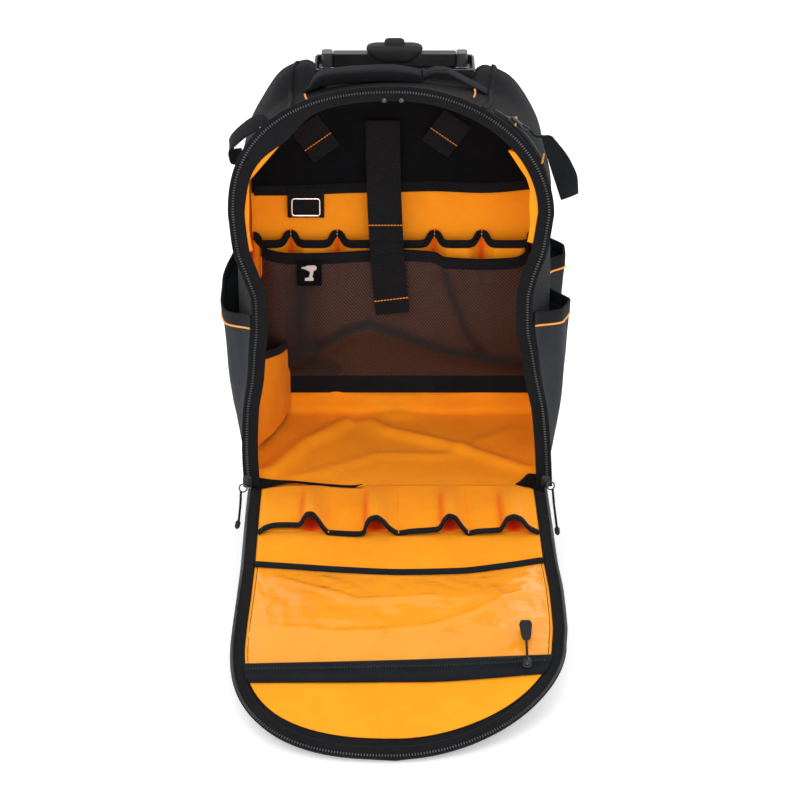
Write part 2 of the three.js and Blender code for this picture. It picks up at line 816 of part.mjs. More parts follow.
for (const side of sides) {
  const angle = THREE.MathUtils.degToRad(side.sign * tabTilt);
  const tab = block([-tabWidth / 2, 0, -tabLength / 2], [tabWidth / 2, webbingThickness, tabLength / 2], 0.5)
    .rotateY(angle)
    .translate(strapCentre + side.sign * tabSpread, liningFace - panelFront - seam - webbingThickness,
      hingeHeight + wallTop - tabDrop);
  piece(`webbing_tab_${side.key}`, tab, 'webbing');
}

// The clip for a tape measure: a webbing tab with a rectangular wire frame on it, hung from the panel's top
const clipHeight = organizerTop - clipHang;
const clipTab = block(
  [clipCentre - clipTabWidth / 2, 0, clipHeight - clipTabLength / 2],
  [clipCentre + clipTabWidth / 2, webbingThickness, clipHeight + clipTabLength / 2], 0.5)
  .translate(0, liningFace - pocketStand - webbingThickness, hingeHeight);
piece('tape_clip_tab', clipTab, 'webbing');
const clipCorners = softRectangle(clipWidth, clipDrop, 2.5, 2);
const clipCentreY = liningFace - pocketStand - webbingThickness - seam - clipWire / 2;
const clipLine = clipCorners.map(([a, b]) =>
  point(clipCentre + a, clipCentreY, hingeHeight + clipHeight + b));
const clipFrame = (t) => {
  const i = Math.round(t * clipLine.length) % clipLine.length;
  const before = clipLine[(i + clipLine.length - 1) % clipLine.length];
  const after = clipLine[(i + 1) % clipLine.length];
  const up = point(0, -1, 0);
  return { centre: clipLine[i], across: after.clone().sub(before).normalize().cross(up), up };
};
piece('tape_clip_frame', sweep(clipFrame, round(clipWire / 2, 6), clipLine.length, true), 'steel');

const badgeY = liningFace - meshStand - pocketStand - meshThickness - seam;
piece('badge', block(
  [badgeCentre - badgeWidth / 2, badgeY - 1.2, hingeHeight + badgeHeight - badgeLength / 2],
  [badgeCentre + badgeWidth / 2, badgeY, hingeHeight + badgeHeight + badgeLength / 2], 0.5), 'webbing');

// The pocket inside the left wall, from the corner of the back towards the opening
function innerPocketFace(skin) {
  return (u, v) => {
    const depth = mix(0.34, 0.88, u);
    const height = mix(4, innerPocketHeight + 6 * u, v);
    const base = bodyPoint(sides[0], height / (middleTop + floorDrop), depth, liningInset + liningWall);
    const stand = 1 + innerPocketStand * plateau(u, 0.32) * mix(0.7, 1, v);
    return point(base.x + stand + skin, base.y, hingeHeight + height);
  };
}
piece('inner_side_pocket', sheet(innerPocketFace(1.5), innerPocketFace(0), 6, 4), 'orangeCloth');

// Pockets on the outside of the sides: sheets that follow the body and stand off it at the mouth
// depth and top are shares from a pocket's front edge to its rear edge, stand is a share of how far it opens.
const sidePocketRows = [
  { name: 'side_pocket_left', side: 0, depth: [0.08, 0.88], top: [0.385, 0.56], stand: 0.74, fill: 0.95 },
  { name: 'side_pocket_right', side: 1, depth: [0.08, 0.62], top: [0.405, 0.43], stand: 0.95, fill: 0.5 },
  { name: 'rear_pocket_right', side: 1, depth: [0.64, 0.95], top: [0.53, 0.56], stand: 0.85, fill: 0.6 },
];

function sidePocketFace(row, skin) {
  const side = sides[row.side];
  return (u, v) => {
    const depth = mix(...row.depth, u);
    const up = v * mix(...row.top, Math.pow(u, 2.5));
    const base = bodyPoint(side, up, depth);
    const stand = 2 * seam + sidePocketStand * row.stand * plateau(u, 0.36) * Math.pow(v, row.fill);
    return point(base.x + side.sign * (stand + skin), base.y, base.z);
  };
}
for (const row of sidePocketRows) {
  const pocket = sheet(sidePocketFace(row, sidePocketWall), sidePocketFace(row, 0), 10, 6);
  piece(row.name, pocket, 'greyCloth');
}

// The padded carry handle, an arch of cloth across the crown of the bag
const gripDepthShare = 0.55;

// Height of the body's faceted surface over a place across its crown, at a depth share.
function crownHeight(x, depth) {
  const side = sides[x < 0 ? 0 : 1];
  const next = Math.max(1, depthRows.findIndex((row) => row.depth >= depth));
  const [a, b] = [depthRows[next - 1].depth, depthRows[next].depth];
  const heights = [a, b].map((ring) => {
    const points = bodyStations.map((up) => bodyPoint(side, up, ring));
    const inner = Math.max(1, points.findIndex((p) => Math.abs(p.x) <= Math.abs(x) + 1e-6));
    const [outerPoint, innerPoint] = [points[inner - 1], points[inner]];
    const span = Math.abs(outerPoint.x) - Math.abs(innerPoint.x);
    return mix(innerPoint.z, outerPoint.z, clamp01((Math.abs(x) - Math.abs(innerPoint.x)) / span));
  });
  return mix(heights[0], heights[1], (depth - a) / (b - a));
}

const gripY = mix(hingeY + openingLean, backY, gripDepthShare);

// The handle's course: shares of its half length and of its rise over the crown
const carryCourse = [
  [-1, 0.18], [-0.86, 0.44], [-0.61, 0.83], [0, 1], [0.61, 0.83], [0.86, 0.44], [1, 0.18],
];
const carryPath = smoothPath(carryCourse.map(([across, rise]) => {
  const x = across * carryHalfLength;
  return [trolleyCentre + x, gripY, crownHeight(x, gripDepthShare) + rise * carryRise];
}));

// Shares of the webbing's width and of the padding's thickness along the handle
const carryRows = [
  { up: 0, wide: 1, thick: 0.17 },
  { up: 0.12, wide: 1, thick: 0.22 },
  { up: 0.22, wide: 1.04, thick: 0.78 },
  { up: 0.5, wide: 1.12, thick: 1 },
  { up: 0.78, wide: 1.04, thick: 0.78 },
  { up: 0.88, wide: 1, thick: 0.22 },
  { up: 1, wide: 1, thick: 0.17 },
];
function carryFrame(t) {
  const frame = along(carryPath, point(0, 0, 1))(t);
  frame.across.multiplyScalar(webbing * column(carryRows, 'wide', t));
  frame.up.multiplyScalar(carryThickness * column(carryRows, 'thick', t));
  return frame;
}
piece('carry_handle', sweep(carryFrame, softRectangle(1, 1, 0.28, 2), 16), 'blackCloth');

// The moulded cup that the pull handle sinks into, on the rear edge of the crown
const railX = sides.map(({ sign }) => trolleyCentre + sign * postSpread);
const railY = backY + seam + railDepth / 2;
const cupHalf = postSpread + railWidth / 2 + cupWall + 2;
const cupFront = railY - cupDepth;
const cupBack = railY + gripDepth / 2 + cupSetback + cupWall;
const cupFrontShare = (cupFront - hingeY - openingLean) / (bodyDepth - openingLean);
const cupFloor = crownHeight(0, cupFrontShare) + 2 * seam + cupWall;
const cupTop = cupFloor + cupLip;
const tubeHole = (x, width, depth, low, high) => block(
  [x - width / 2, railY - depth / 2, low], [x + width / 2, railY + depth / 2, high], 2);
const cupOutline = [
  ...steps(8).map((t) => {
    const x = mix(-cupHalf, cupHalf, t);
    return [x, crownHeight(trolleyCentre + x, cupFrontShare) + 2 * seam];
  }),
  [cupHalf, cupTop - 3],
  [cupHalf - 3, cupTop],
  [3 - cupHalf, cupTop],
  [-cupHalf, cupTop - 3],
];
const cupShape = new THREE.Shape(cupOutline.map(([x, z]) => new THREE.Vector2(x, z)));
const cupBody = new THREE.ExtrudeGeometry(cupShape, { depth: cupBack - cupFront, bevelEnabled: false })
  .rotateX(Math.PI / 2).translate(trolleyCentre, cupBack, 0);
const cupHollow = block(
  [trolleyCentre - cupHalf + cupWall, cupFront + cupWall, cupFloor],
  [trolleyCentre + cupHalf - cupWall, cupBack - cupWall, cupTop + 5], 4);
const railGap = 0.5;
const cupHoles = railX.map((x) =>
  tubeHole(x, railWidth + 2 * railGap, railDepth + 2 * railGap, bodyBottom, cupFloor + 1));
piece('handle_cup', cut(cupBody, cupHollow, ...cupHoles), 'plastic');

// The telescopic tubes: a fixed outer pair, a middle pair and the inner pair on the handle
const railFoot = bodyBottom + bracketHeight;
const stageGap = 2 * (tubeWall + tubeClearance);
function tube(x, width, depth, low, high) {
  const outside = tubeHole(x, width, depth, low, high);
  const inside = tubeHole(x, width - 2 * tubeWall, depth - 2 * tubeWall, low - 1, high + 1);
  return cut(outside, inside);
}
sides.forEach(({ key }, i) => {
  piece(`outer_tube_${key}`, tube(railX[i], railWidth, railDepth, railFoot, cupFloor), 'steel');
  piece(`middle_tube_${key}`,
    tube(railX[i], railWidth - stageGap, railDepth - stageGap, railFoot + tubeStop, cupFloor + 1), 'steel');
});
piece('tube_bracket', block(
  [railX[0] - railWidth, backY + seam, bodyBottom + 1],
  [railX[1] + railWidth, railY + railDepth / 2, railFoot - seam], 2), 'plastic');

// The pull handle: a post on each inner tube, a bar between them, a grip round the bar and its button
const barLow = cupFloor + 1.2;
const barHigh = barLow + handleHeight;
const postHigh = barHigh + 1;
const innerWidth = railWidth - 2 * stageGap;
const innerDepth = railDepth - 2 * stageGap;
sides.forEach(({ key }, i) => {
  const post = block(
    [railX[i] - postWidth / 2, railY - postDepth / 2, barLow],
    [railX[i] + postWidth / 2, railY + postDepth / 2, postHigh], 2.5);
  const inner = block(
    [railX[i] - innerWidth / 2, railY - innerDepth / 2, railFoot + 2 * tubeStop],
    [railX[i] + innerWidth / 2, railY + innerDepth / 2, barLow + 4], 2);
  piece(`handle_post_${key}`, joined(post, inner), 'plastic');
});
const barHalf = postSpread - postWidth / 2 - seam;
const bar = block(
  [trolleyCentre - barHalf, railY - barDepth / 2, barLow],
  [trolleyCentre + barHalf, railY + barDepth / 2, barHigh], 2);
const recessFloor = barHigh - handleHeight / 2;
const recess = block(
  [trolleyCentre - buttonWidth / 2 - seam, railY - buttonDepth / 2 - seam, recessFloor],
  [trolleyCentre + buttonWidth / 2 + seam, railY + buttonDepth / 2 + seam, barHigh + gripHeight], 3);
piece('handle_bar', cut(bar, recess), 'plastic');
const gripLow = barLow - 0.8;
const gripOutline = [
  [-gripWidth / 2 + 7, gripLow], [gripWidth / 2 - 7, gripLow], [gripWidth / 2, gripLow + 7],
  [gripWidth / 2, gripLow + gripHeight - 4], [gripWidth / 2 - 4, gripLow + gripHeight],
  [4 - gripWidth / 2, gripLow + gripHeight], [-gripWidth / 2, gripLow + gripHeight - 4],
  [-gripWidth / 2, gripLow + 7],
];
const gripBlock = new THREE.ExtrudeGeometry(
  new THREE.Shape(gripOutline.map(([x, z]) => new THREE.Vector2(x, z))),
  { depth: gripDepth, bevelEnabled: false }).rotateX(Math.PI / 2)
  .translate(trolleyCentre, railY + gripDepth / 2, 0);
const barRoom = block(
  [trolleyCentre - gripWidth, railY - barDepth / 2 - seam, barLow - seam / 2],
  [trolleyCentre + gripWidth, railY + barDepth / 2 + seam, barHigh + seam], 1);
piece('handle_grip', cut(gripBlock, barRoom, recess), 'rubber');
const buttonTop = gripLow + gripHeight + buttonRise;
piece('handle_button', block(
  [trolleyCentre - buttonWidth / 2, railY - buttonDepth / 2, recessFloor + buttonTravel + seam],
  [trolleyCentre + buttonWidth / 2, railY + buttonDepth / 2, buttonTop], 3), 'plastic');

// Wheels, each on its own axle in a moulded housing at a rear corner
const housingHalf = wheelWidth / 2 + wheelClearance + housingWall;
const wellRadius = wheelRadius + wheelClearance;
const housingRadius = wellRadius + housingWall;
const housingLow = wheelRadius * 0.47;
const arc = (radius, from, to, count) => steps(count).map((t) => {
  const angle = THREE.MathUtils.degToRad(mix(from, to, t));
  return [wheelY + radius * Math.cos(angle), wheelRadius + radius * Math.sin(angle)];
});
sides.forEach(({ key, sign }) => {
  const x = sign * wheelCentreX;
  const outline = [
    [wheelY - housingRadius, housingLow], [wheelY + housingRadius, housingLow],
    ...arc(housingRadius, 0, housingArc, 5), [wheelY, bodyBottom - seam], [wheelY - housingRadius, bodyBottom - seam],
  ];
  const well = [...arc(wellRadius, 0, 180, 10), [wheelY - wellRadius, -1], [wheelY + wellRadius, -1]];
  const wellHalf = housingHalf - housingWall;
  const boreRadius = axleRadius + axleClearance;
  const boreEnd = housingHalf + 1;
  const bore = turnedAlongX(
    [[0, -boreEnd], [boreRadius, -boreEnd], [boreRadius, boreEnd], [0, boreEnd]],
    [x, wheelY, wheelRadius], 10);
  const housing = cut(extrudeAlongX(outline, x - housingHalf, x + housingHalf),
    extrudeAlongX(well, x - wellHalf, x + wellHalf), bore);
  piece(`wheel_housing_${key}`, housing, 'plastic');
  piece(`axle_${key}`, turnedAlongX(
    [[0, -housingHalf], [axleRadius, -housingHalf], [axleRadius, housingHalf], [0, housingHalf]],
    [x, wheelY, wheelRadius], 10), 'steel');
  const half = wheelWidth / 2;
  const boss = wellHalf - seam;
  const hubProfile = [
    [boreRadius, -boss], [10, -boss], [12, 2 - half], [hubRadius, 3 - half], [hubRadius, half - 3],
    [12, half - 2], [10, boss], [boreRadius, boss], [boreRadius, -boss],
  ];
  piece(`wheel_hub_${key}`, turnedAlongX(hubProfile, [x, wheelY, wheelRadius], 16), 'plastic');
  const tyreProfile = [
    [hubRadius + seam, -half], [wheelRadius - 4, -half], [wheelRadius, 4 - half], [wheelRadius, half - 4],
    [wheelRadius - 4, half], [hubRadius + seam, half], [hubRadius + seam, -half],
  ];
  piece(`wheel_tyre_${key}`, turnedAlongX(tyreProfile, [x, wheelY, wheelRadius], 24), 'rubber');
});

// The moulded base: an open tray under the body, narrower at the rear between the wheel housings
const trayFront = hingeY + 8;
const trayRear = backY;
const trayStep = wheelY - housingRadius - seam;
const stemHalf = wheelCentreX - housingHalf - seam;
const trayTop = bodyBottom - seam;
const trayLow = footHeight + seam;
function trayRing(z, inset) {
  const [wide, narrow] = [baseHalfWidth - inset, stemHalf - inset];
  const [front, rear, shoulder] = [trayFront + inset, trayRear - inset, trayStep - inset];
  const corner = 14;
  const half = [
    [narrow - 4, rear], [narrow, rear - 4], [narrow, shoulder], [wide - 4, shoulder], [wide, shoulder - 4],
    [wide, front + corner], [wide - corner * 0.3, front + corner * 0.3], [wide - corner, front],
  ];
  const other = half.map(([x, y]) => [-x, y]).reverse();
  return [...half, ...other].map(([x, y]) => point(x, y, z));
}
const trayRows = [
  { up: 1, inset: 0 },
  { up: 0.35, inset: 2 },
  { up: 0.08, inset: 6 },
  { up: 0, inset: 14 },
];
const trayRings = (skin) =>
  trayRows.map((row) => trayRing(mix(trayLow + skin, trayTop, row.up), row.inset + skin));
const [trayOuter, trayInner] = [trayRings(0), trayRings(baseWall)];
piece('base_tray', wall(trayOuter, trayInner, { loop: true, cap: true }), 'plastic');
piece('front_foot', block(
  [-footHalfLength, -footDepth / 2, 0], [footHalfLength, footDepth / 2, footHeight], 4), 'rubber');

// The padded back over the tubes, which ends below the handle's cup, and the shoulder straps on it
const cupLow = Math.min(...cupOutline.map(([, z]) => z));
const padTop = cupLow - hingeHeight - padClearance;
const padStand = railDepth + 2 * seam;
const padColumns = [-1, -0.95, -0.9, -0.85, -0.8, -0.5, -0.15, 0.15, 0.5, 0.8, 0.85, 0.9, 0.95, 1];
const padLeast = postSpread + railWidth / 2 + Math.abs(trolleyCentre) + padRise;
function padFace(skin) {
  return (u, v) => {
    const swell = skin * mix(0.35, 1, plateau(u, 0.1) * plateau(v, 0.06));
    const height = mix(padBottom, padTop, v);
    const half = Math.max(padLeast, Math.min(padHalfWidth, wallHalf(sides[1], height, 0)));
    const x = half * padColumns[Math.round(u * (padColumns.length - 1))];
    const stand = seam + (padStand - seam) * smooth((half - Math.abs(x)) / padRise);
    return point(x, backY + stand + swell, hingeHeight + height);
  };
}
piece('back_pad', sheet(padFace(padThickness), padFace(0), padColumns.length - 1, 7), 'blackCloth');

const padFront = backY + padStand + padThickness;

// Shares of the pad's half width and height and of how far a strap stands off the pad, from its top down
const shoulderRows = [
  { up: 0, out: 0.304, height: 0.99, stand: 0.06, wide: 0.8 },
  { up: 0.3, out: 0.42, height: 0.8, stand: 0.81, wide: 1 },
  { up: 0.6, out: 0.565, height: 0.59, stand: 1, wide: 1 },
  { up: 0.85, out: 0.667, height: 0.425, stand: 0.5, wide: 0.9 },
  { up: 1, out: 0.703, height: 0.335, stand: 0.06, wide: 0.55 },
];
const webEnd = { out: 0.81, height: 0.117 };
for (const side of sides) {
  const strapPoint = (u, v, skin) => {
    const width = shoulderWidth * column(shoulderRows, 'wide', v);
    const x = padHalfWidth * column(shoulderRows, 'out', v) + (u - 0.5) * width;
    const swell = skin * mix(0.5, 1, plateau(u, 0.2));
    const y = padFront + seam + shoulderStand * column(shoulderRows, 'stand', v) + swell;
    return point(side.sign * x, y, hingeHeight + padTop * column(shoulderRows, 'height', v));
  };
  piece(`shoulder_strap_${side.key}`,
    sheet((u, v) => strapPoint(u, v, shoulderThickness), (u, v) => strapPoint(u, v, 0), 5, 9), 'blackCloth');
  const webPoint = (u, v, skin) => {
    const x = padHalfWidth * mix(column(shoulderRows, 'out', 1), webEnd.out, v) + (u - 0.5) * webbing;
    const height = mix(padTop * column(shoulderRows, 'height', 1) - seam, padTop * webEnd.height, v);
    return point(side.sign * x, padFront + 2 * seam + skin, hingeHeight + height);
  };
  piece(`strap_webbing_${side.key}`,
    sheet((u, v) => webPoint(u, v, webbingThickness), (u, v) => webPoint(u, v, 0), 2, 2), 'webbing');
}

// A flat strap in a loop. Its places are shares of the body's height and of its own reach off the surface.
function strapLoop(side, depth, reach, places, width, thickness) {
  const curve = smoothPath(places.map(([up, out]) => {
    const base = bodyPoint(side, up, depth);
    return [base.x + side.sign * out * reach, base.y, base.z + out * reach * 0.2];
  }));
  const profile = [[-width / 2, 0], [width / 2, 0], [width / 2, thickness], [-width / 2, thickness]];
  const frame = (t) => {
    const tangent = curve.getTangentAt(t);
    const across = point(0, 1, 0);
    return { centre: curve.getPointAt(t), across, up: tangent.clone().cross(across).normalize() };
  };
  return sweep(frame, profile, 12);
}
const sideLoopPlaces = [
  [0.91, 0.08], [0.915, 0.5], [0.885, 0.95], [0.845, 1], [0.825, 0.5], [0.83, 0.08],
];
piece('side_loop_left',
  strapLoop(sides[0], 0.22, sideLoopReach, sideLoopPlaces, webbing, webbingThickness), 'webbing');
const pullLoopPlaces = [
  [0.884, 0.24], [0.85, 0.6], [0.8, 0.87], [0.73, 1], [0.735, 0.7], [0.8, 0.4], [0.85, 0.065],
];
piece('webbing_pull',
  strapLoop(sides[1], 0.2, pullLoopReach, pullLoopPlaces, webbing, webbingThickness), 'webbing');

// The slider of the rear zip, which the webbing pull hangs from. It lies flat on the body's curved surface.
const rearSliderPlace = { up: 0.915, depth: 0.2 };
const rearSliderBase = bodyPoint(sides[1], rearSliderPlace.up, rearSliderPlace.depth);
const rearSliderDown = bodyPoint(sides[1], rearSliderPlace.up - 0.02, rearSliderPlace.depth)
  .sub(rearSliderBase).normalize();
const rearSliderBack = bodyPoint(sides[1], rearSliderPlace.up, rearSliderPlace.depth + 0.05)
  .sub(rearSliderBase).normalize();
const rearSliderOut = rearSliderDown.clone().cross(rearSliderBack).normalize();
const rearSliderAcross = rearSliderOut.clone().cross(rearSliderDown).normalize();
piece('rear_zip_slider', block(
  [-rearSliderRise, -rearSliderWidth / 2, seam],
  [rearSliderLength - rearSliderRise, rearSliderWidth / 2, seam + rearSliderHeight], 2)
  .applyMatrix4(new THREE.Matrix4().makeBasis(rearSliderDown, rearSliderAcross, rearSliderOut))
  .translate(rearSliderBase.x, rearSliderBase.y, rearSliderBase.z), 'steel');

export default backpack;
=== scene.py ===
# %% [markdown]
# # A wheeled tool backpack, opened
# The bag stands upright and its whole front panel is unzipped and folded down to the floor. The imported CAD
# model is the fixed frame: it gives every place and size. This file dresses it with cloth, webbing, zips
# and moulded plastic. Shapes are worked out in millimetres and stored in metres.

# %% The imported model
import math

import bmesh
import bpy
import numpy as np
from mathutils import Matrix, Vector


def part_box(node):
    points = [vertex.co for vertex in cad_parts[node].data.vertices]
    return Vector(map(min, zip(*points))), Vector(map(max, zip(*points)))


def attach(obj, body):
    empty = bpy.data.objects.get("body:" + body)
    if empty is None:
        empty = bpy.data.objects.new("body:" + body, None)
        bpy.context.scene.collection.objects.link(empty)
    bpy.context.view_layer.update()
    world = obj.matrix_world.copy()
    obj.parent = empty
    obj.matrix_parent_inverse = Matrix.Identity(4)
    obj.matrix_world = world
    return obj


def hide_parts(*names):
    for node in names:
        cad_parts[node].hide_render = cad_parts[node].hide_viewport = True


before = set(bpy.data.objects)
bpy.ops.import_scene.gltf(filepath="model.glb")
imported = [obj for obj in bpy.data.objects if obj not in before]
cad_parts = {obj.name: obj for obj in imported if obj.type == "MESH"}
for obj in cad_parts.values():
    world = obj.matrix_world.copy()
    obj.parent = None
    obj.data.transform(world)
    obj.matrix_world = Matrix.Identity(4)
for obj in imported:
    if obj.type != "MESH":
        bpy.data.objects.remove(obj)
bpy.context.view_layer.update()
MM = 0.001

# %% [markdown]
# ## Camera
# The photograph looks down on the bag from about three metres with a long lens. The opening and the edge of
# the folded panel zip together, so they have one length, and that fixes the camera's height and tilt.

# %% Camera
lens = bpy.data.cameras.new("camera")
lens.sensor_width = 36
lens.lens = 136.17
camera = bpy.data.objects.new("camera", lens)
camera.location = (0.004, -3.001, 1.514)
camera.rotation_euler = (math.radians(90 - 23.89), 0, 0)
bpy.context.scene.collection.objects.link(camera)
bpy.context.scene.camera = camera
print("camera at", tuple(camera.location))

# %% [markdown]
# ## Light and floor
# A product photograph on white: one large soft box in front and above, a weaker one on each side, and a
# bright sky all round. Large lights give the soft shadows that let cloth look soft.

# %% Light and floor
def soft_box(name, place, aim, size, power):
    """A square area light that faces a point."""
    data = bpy.data.lights.new(name, "AREA")
    data.size = size
    data.energy = power
    box = bpy.data.objects.new(name, data)
    box.location = place
    towards = Vector(aim) - Vector(place)
    box.rotation_euler = towards.to_track_quat("-Z", "Y").to_euler()
    bpy.context.scene.collection.objects.link(box)


soft_box("key_light", (-0.5, -2.4, 2.7), (0, 0, 0.2), 1.8, 26)
soft_box("front_light", (0.2, -2.6, 0.9), (0, 0.1, 0.35), 1.2, 16)
soft_box("left_light", (-2.6, -0.4, 1.6), (0, 0, 0.3), 1.4, 7)
soft_box("right_light", (2.6, -0.2, 1.8), (0, 0, 0.3), 1.4, 7)
soft_box("rear_light", (0.4, 2.6, 2.2), (0, 0, 0.3), 1.6, 8)

sky = bpy.data.worlds.new("studio")
sky.use_nodes = True
sky.node_tree.nodes["Background"].inputs["Color"].default_value = (1, 1, 1, 1)
sky.node_tree.nodes["Background"].inputs["Strength"].default_value = 0.95
bpy.context.scene.world = sky
bpy.context.scene.view_settings.view_transform = "Standard"

# %% [markdown]
# ## Tools for surfaces
# Every new piece is a surface: a grid of points worked out by numpy as whole arrays. `surface` puts such a
# grid into a mesh and gives it a UV map in metres, measured along the cloth, so a weave drawn on that map
# follows every fold. `sweep` carries a profile along a path and makes zips, tapes, straps and wires.

# %% Numbers
def smooth(t):
    """Three t squared minus two t cubed, held between 0 and 1."""
    t = np.clip(t, 0, 1)
    return t * t * (3 - 2 * t)


def plateau(t, rise):
    """Rises from 0 at both ends of 0..1 to 1, each rise taking this share of the length."""
    return smooth(t / rise) * smooth((1 - t) / rise)


def through(places, values):
    """A curve through a table without overshoot: cubic spans whose slopes are harmonic means."""
    x, y = np.asarray(places, float), np.asarray(values, float)
    width, slope = np.diff(x), np.diff(y) / np.diff(x)
    same = slope[:-1] * slope[1:] > 0
    total = np.where(same, slope[:-1] + slope[1:], 1)
    middle = np.where(same, 2 * slope[:-1] * slope[1:] / total, 0)
    tangent = np.concatenate([[slope[0]], middle, [slope[-1]]])

    def at(t):
        t = np.clip(np.asarray(t, float), x[0], x[-1])
        i = np.clip(np.searchsorted(x, t, side="right") - 1, 0, len(width) - 1)
        u = (t - x[i]) / width[i]
        start, end = (1 + 2 * u) * (1 - u) ** 2, u * u * (3 - 2 * u)
        lead, trail = u * (1 - u) ** 2, u * u * (u - 1)
        return start * y[i] + end * y[i + 1] + width[i] * (lead * tangent[i] + trail * tangent[i + 1])

    return at


def ripple(points, size, seed):
    """Soft bumps from -1 to 1: a sum of six waves whose directions and phases come from the seed."""
    rng = np.random.default_rng(seed)
    directions = rng.normal(size=(6, 3))
    directions /= np.linalg.norm(directions, axis=1)[:, None]
    lengths = size * rng.uniform(0.6, 1.6, 6)
    phases = rng.uniform(0, 2 * np.pi, 6)
    return np.sin(2 * np.pi * (points @ directions.T) / lengths + phases).mean(-1)


def near_line(points, line, width):
    """1 on a line of points in a plane, falling to 0 beside it as a bell of the given half width."""
    line = np.asarray(line, float)
    a, b = line[:-1], line[1:]
    offset = points[..., None, :] - a
    span = b - a
    share = np.clip((offset * span).sum(-1) / (span * span).sum(-1), 0, 1)
    gap = np.linalg.norm(offset - share[..., None] * span, axis=-1).min(-1)
    return np.exp(-((gap / width) ** 2))


# %% Meshes
made = []


def unit(vectors):
    """Vectors divided by their lengths."""
    return vectors / np.maximum(np.linalg.norm(vectors, axis=-1, keepdims=True), 1e-9)


def finish_piece(name, mesh, finish, body="root", replaces=(), thick=0.0, levels=0):
    """Gives a mesh its object, material, body and finishing modifiers."""
    piece = bpy.data.objects.new(name, mesh)
    bpy.context.scene.collection.objects.link(piece)
    material, slot = finish
    mesh.materials.append(material)
    if thick:
        wall = piece.modifiers.new("wall", "SOLIDIFY")
        wall.thickness = thick * MM
        wall.offset = -1
    if levels:
        fine = piece.modifiers.new("smooth", "SUBSURF")
        fine.levels = fine.render_levels = levels
    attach(piece, body)
    if replaces:
        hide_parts(*replaces)
    made.append(name)
    return piece


def mesh_of(name, points, faces, uv=None, flat=False):
    """A mesh from points in millimetres, faces with the same number of corners, and a UV for each corner."""
    mesh = bpy.data.meshes.new(name)
    mesh.vertices.add(len(points))
    mesh.vertices.foreach_set("co", (np.asarray(points, float) * MM).ravel())
    mesh.loops.add(faces.size)
    mesh.loops.foreach_set("vertex_index", faces.ravel().astype(np.int32))
    mesh.polygons.add(len(faces))
    mesh.polygons.foreach_set("loop_start", np.arange(0, faces.size, faces.shape[1], dtype=np.int32))
    mesh.polygons.foreach_set("use_smooth", np.full(len(faces), not flat))
    if uv is not None:
        layer = mesh.uv_layers.new(name="Cloth")
        layer.uv.foreach_set("vector", (uv * MM).ravel().astype(np.float32))
    mesh.update(calc_edges=True)
    mesh.validate()
    return mesh


def tidy_mesh(mesh, outwards=False):
    """Merges points that coincide, and on a closed piece turns every face outwards."""
    shape = bmesh.new()
    shape.from_mesh(mesh)
    bmesh.ops.remove_doubles(shape, verts=shape.verts, dist=2e-6)
    if outwards:
        bmesh.ops.recalc_face_normals(shape, faces=shape.faces)
    shape.to_mesh(mesh)
    shape.free()


def surface(name, grid, finish, wrap=False, facing=None, closed=False, uv=None, shade=None, **rest):
    """A grid of points as a mesh. U is the length along each row from its middle, V is the length down the
    columns. wrap joins each row's ends, facing gives the side that is seen, closed turns a sealed form
    outwards,
    and shade, from 0 to 1 at each point, is how deep it lies in a fold."""
    rows, columns = grid.shape[:2]
    whole = np.concatenate([grid, grid[:, :1]], axis=1) if wrap else grid
    if uv is None:
        across = np.linalg.norm(np.diff(whole, axis=1), axis=-1)
        u = np.concatenate([np.zeros((rows, 1)), np.cumsum(across, axis=1)], axis=1)
        u -= u[:, -1:] / 2
        down = np.linalg.norm(np.diff(whole, axis=0), axis=-1).mean(1)
        v = np.concatenate([[0], np.cumsum(down)])[:, None] + 0 * u
        uv = np.stack([u, v], axis=-1)
    r = np.arange(rows - 1)[:, None]
    c = np.arange(whole.shape[1] - 1)[None, :]
    right = (c + 1) % columns
    quads = np.stack([r * columns + c, r * columns + right, (r + 1) * columns + right, (r + 1) * columns + c],
                     -1)
    corners = np.stack([uv[r, c], uv[r, c + 1], uv[r + 1, c + 1], uv[r + 1, c]], axis=-2)
    quads, corners = quads.reshape(-1, 4), corners.reshape(-1, 4, 2)
    if facing is not None:
        p = grid.reshape(-1, 3)[quads]
        normals = np.cross(p[:, 2] - p[:, 0], p[:, 3] - p[:, 1])
        if (normals @ np.asarray(facing, float)).sum() < 0:
            quads, corners = quads[:, ::-1], corners[:, ::-1]
    mesh = mesh_of(name, grid.reshape(-1, 3), quads, corners)
    if shade is not None:
        hidden = np.ascontiguousarray(np.broadcast_to(shade, (rows, columns)), np.float32)
        mesh.attributes.new("Shade", "FLOAT", "POINT").data.foreach_set("value", hidden.ravel())
    if closed:
        tidy_mesh(mesh, outwards=True)
    return finish_piece(name, mesh, finish, **rest)


def even(path, count, loop=False):
    """The same path with its points an equal distance apart."""
    line = np.concatenate([path, path[:1]]) if loop else path
    gone = np.concatenate([[0], np.cumsum(np.linalg.norm(np.diff(line, axis=0), axis=1))])
    places = np.linspace(0, gone[-1], count + 1)[:-1] if loop else np.linspace(0, gone[-1], count)
    return np.stack([np.interp(places, gone, line[:, k]) for k in range(3)], axis=1)


def curve(points, count):
    """A smooth path through a few points: each coordinate is a table over the distance along them."""
    points = np.asarray(points, float)
    gone = np.concatenate([[0], np.cumsum(np.linalg.norm(np.diff(points, axis=0), axis=1))])
    places = np.linspace(0, gone[-1], count)
    return np.stack([through(gone, points[:, k])(places) for k in range(3)], axis=1)


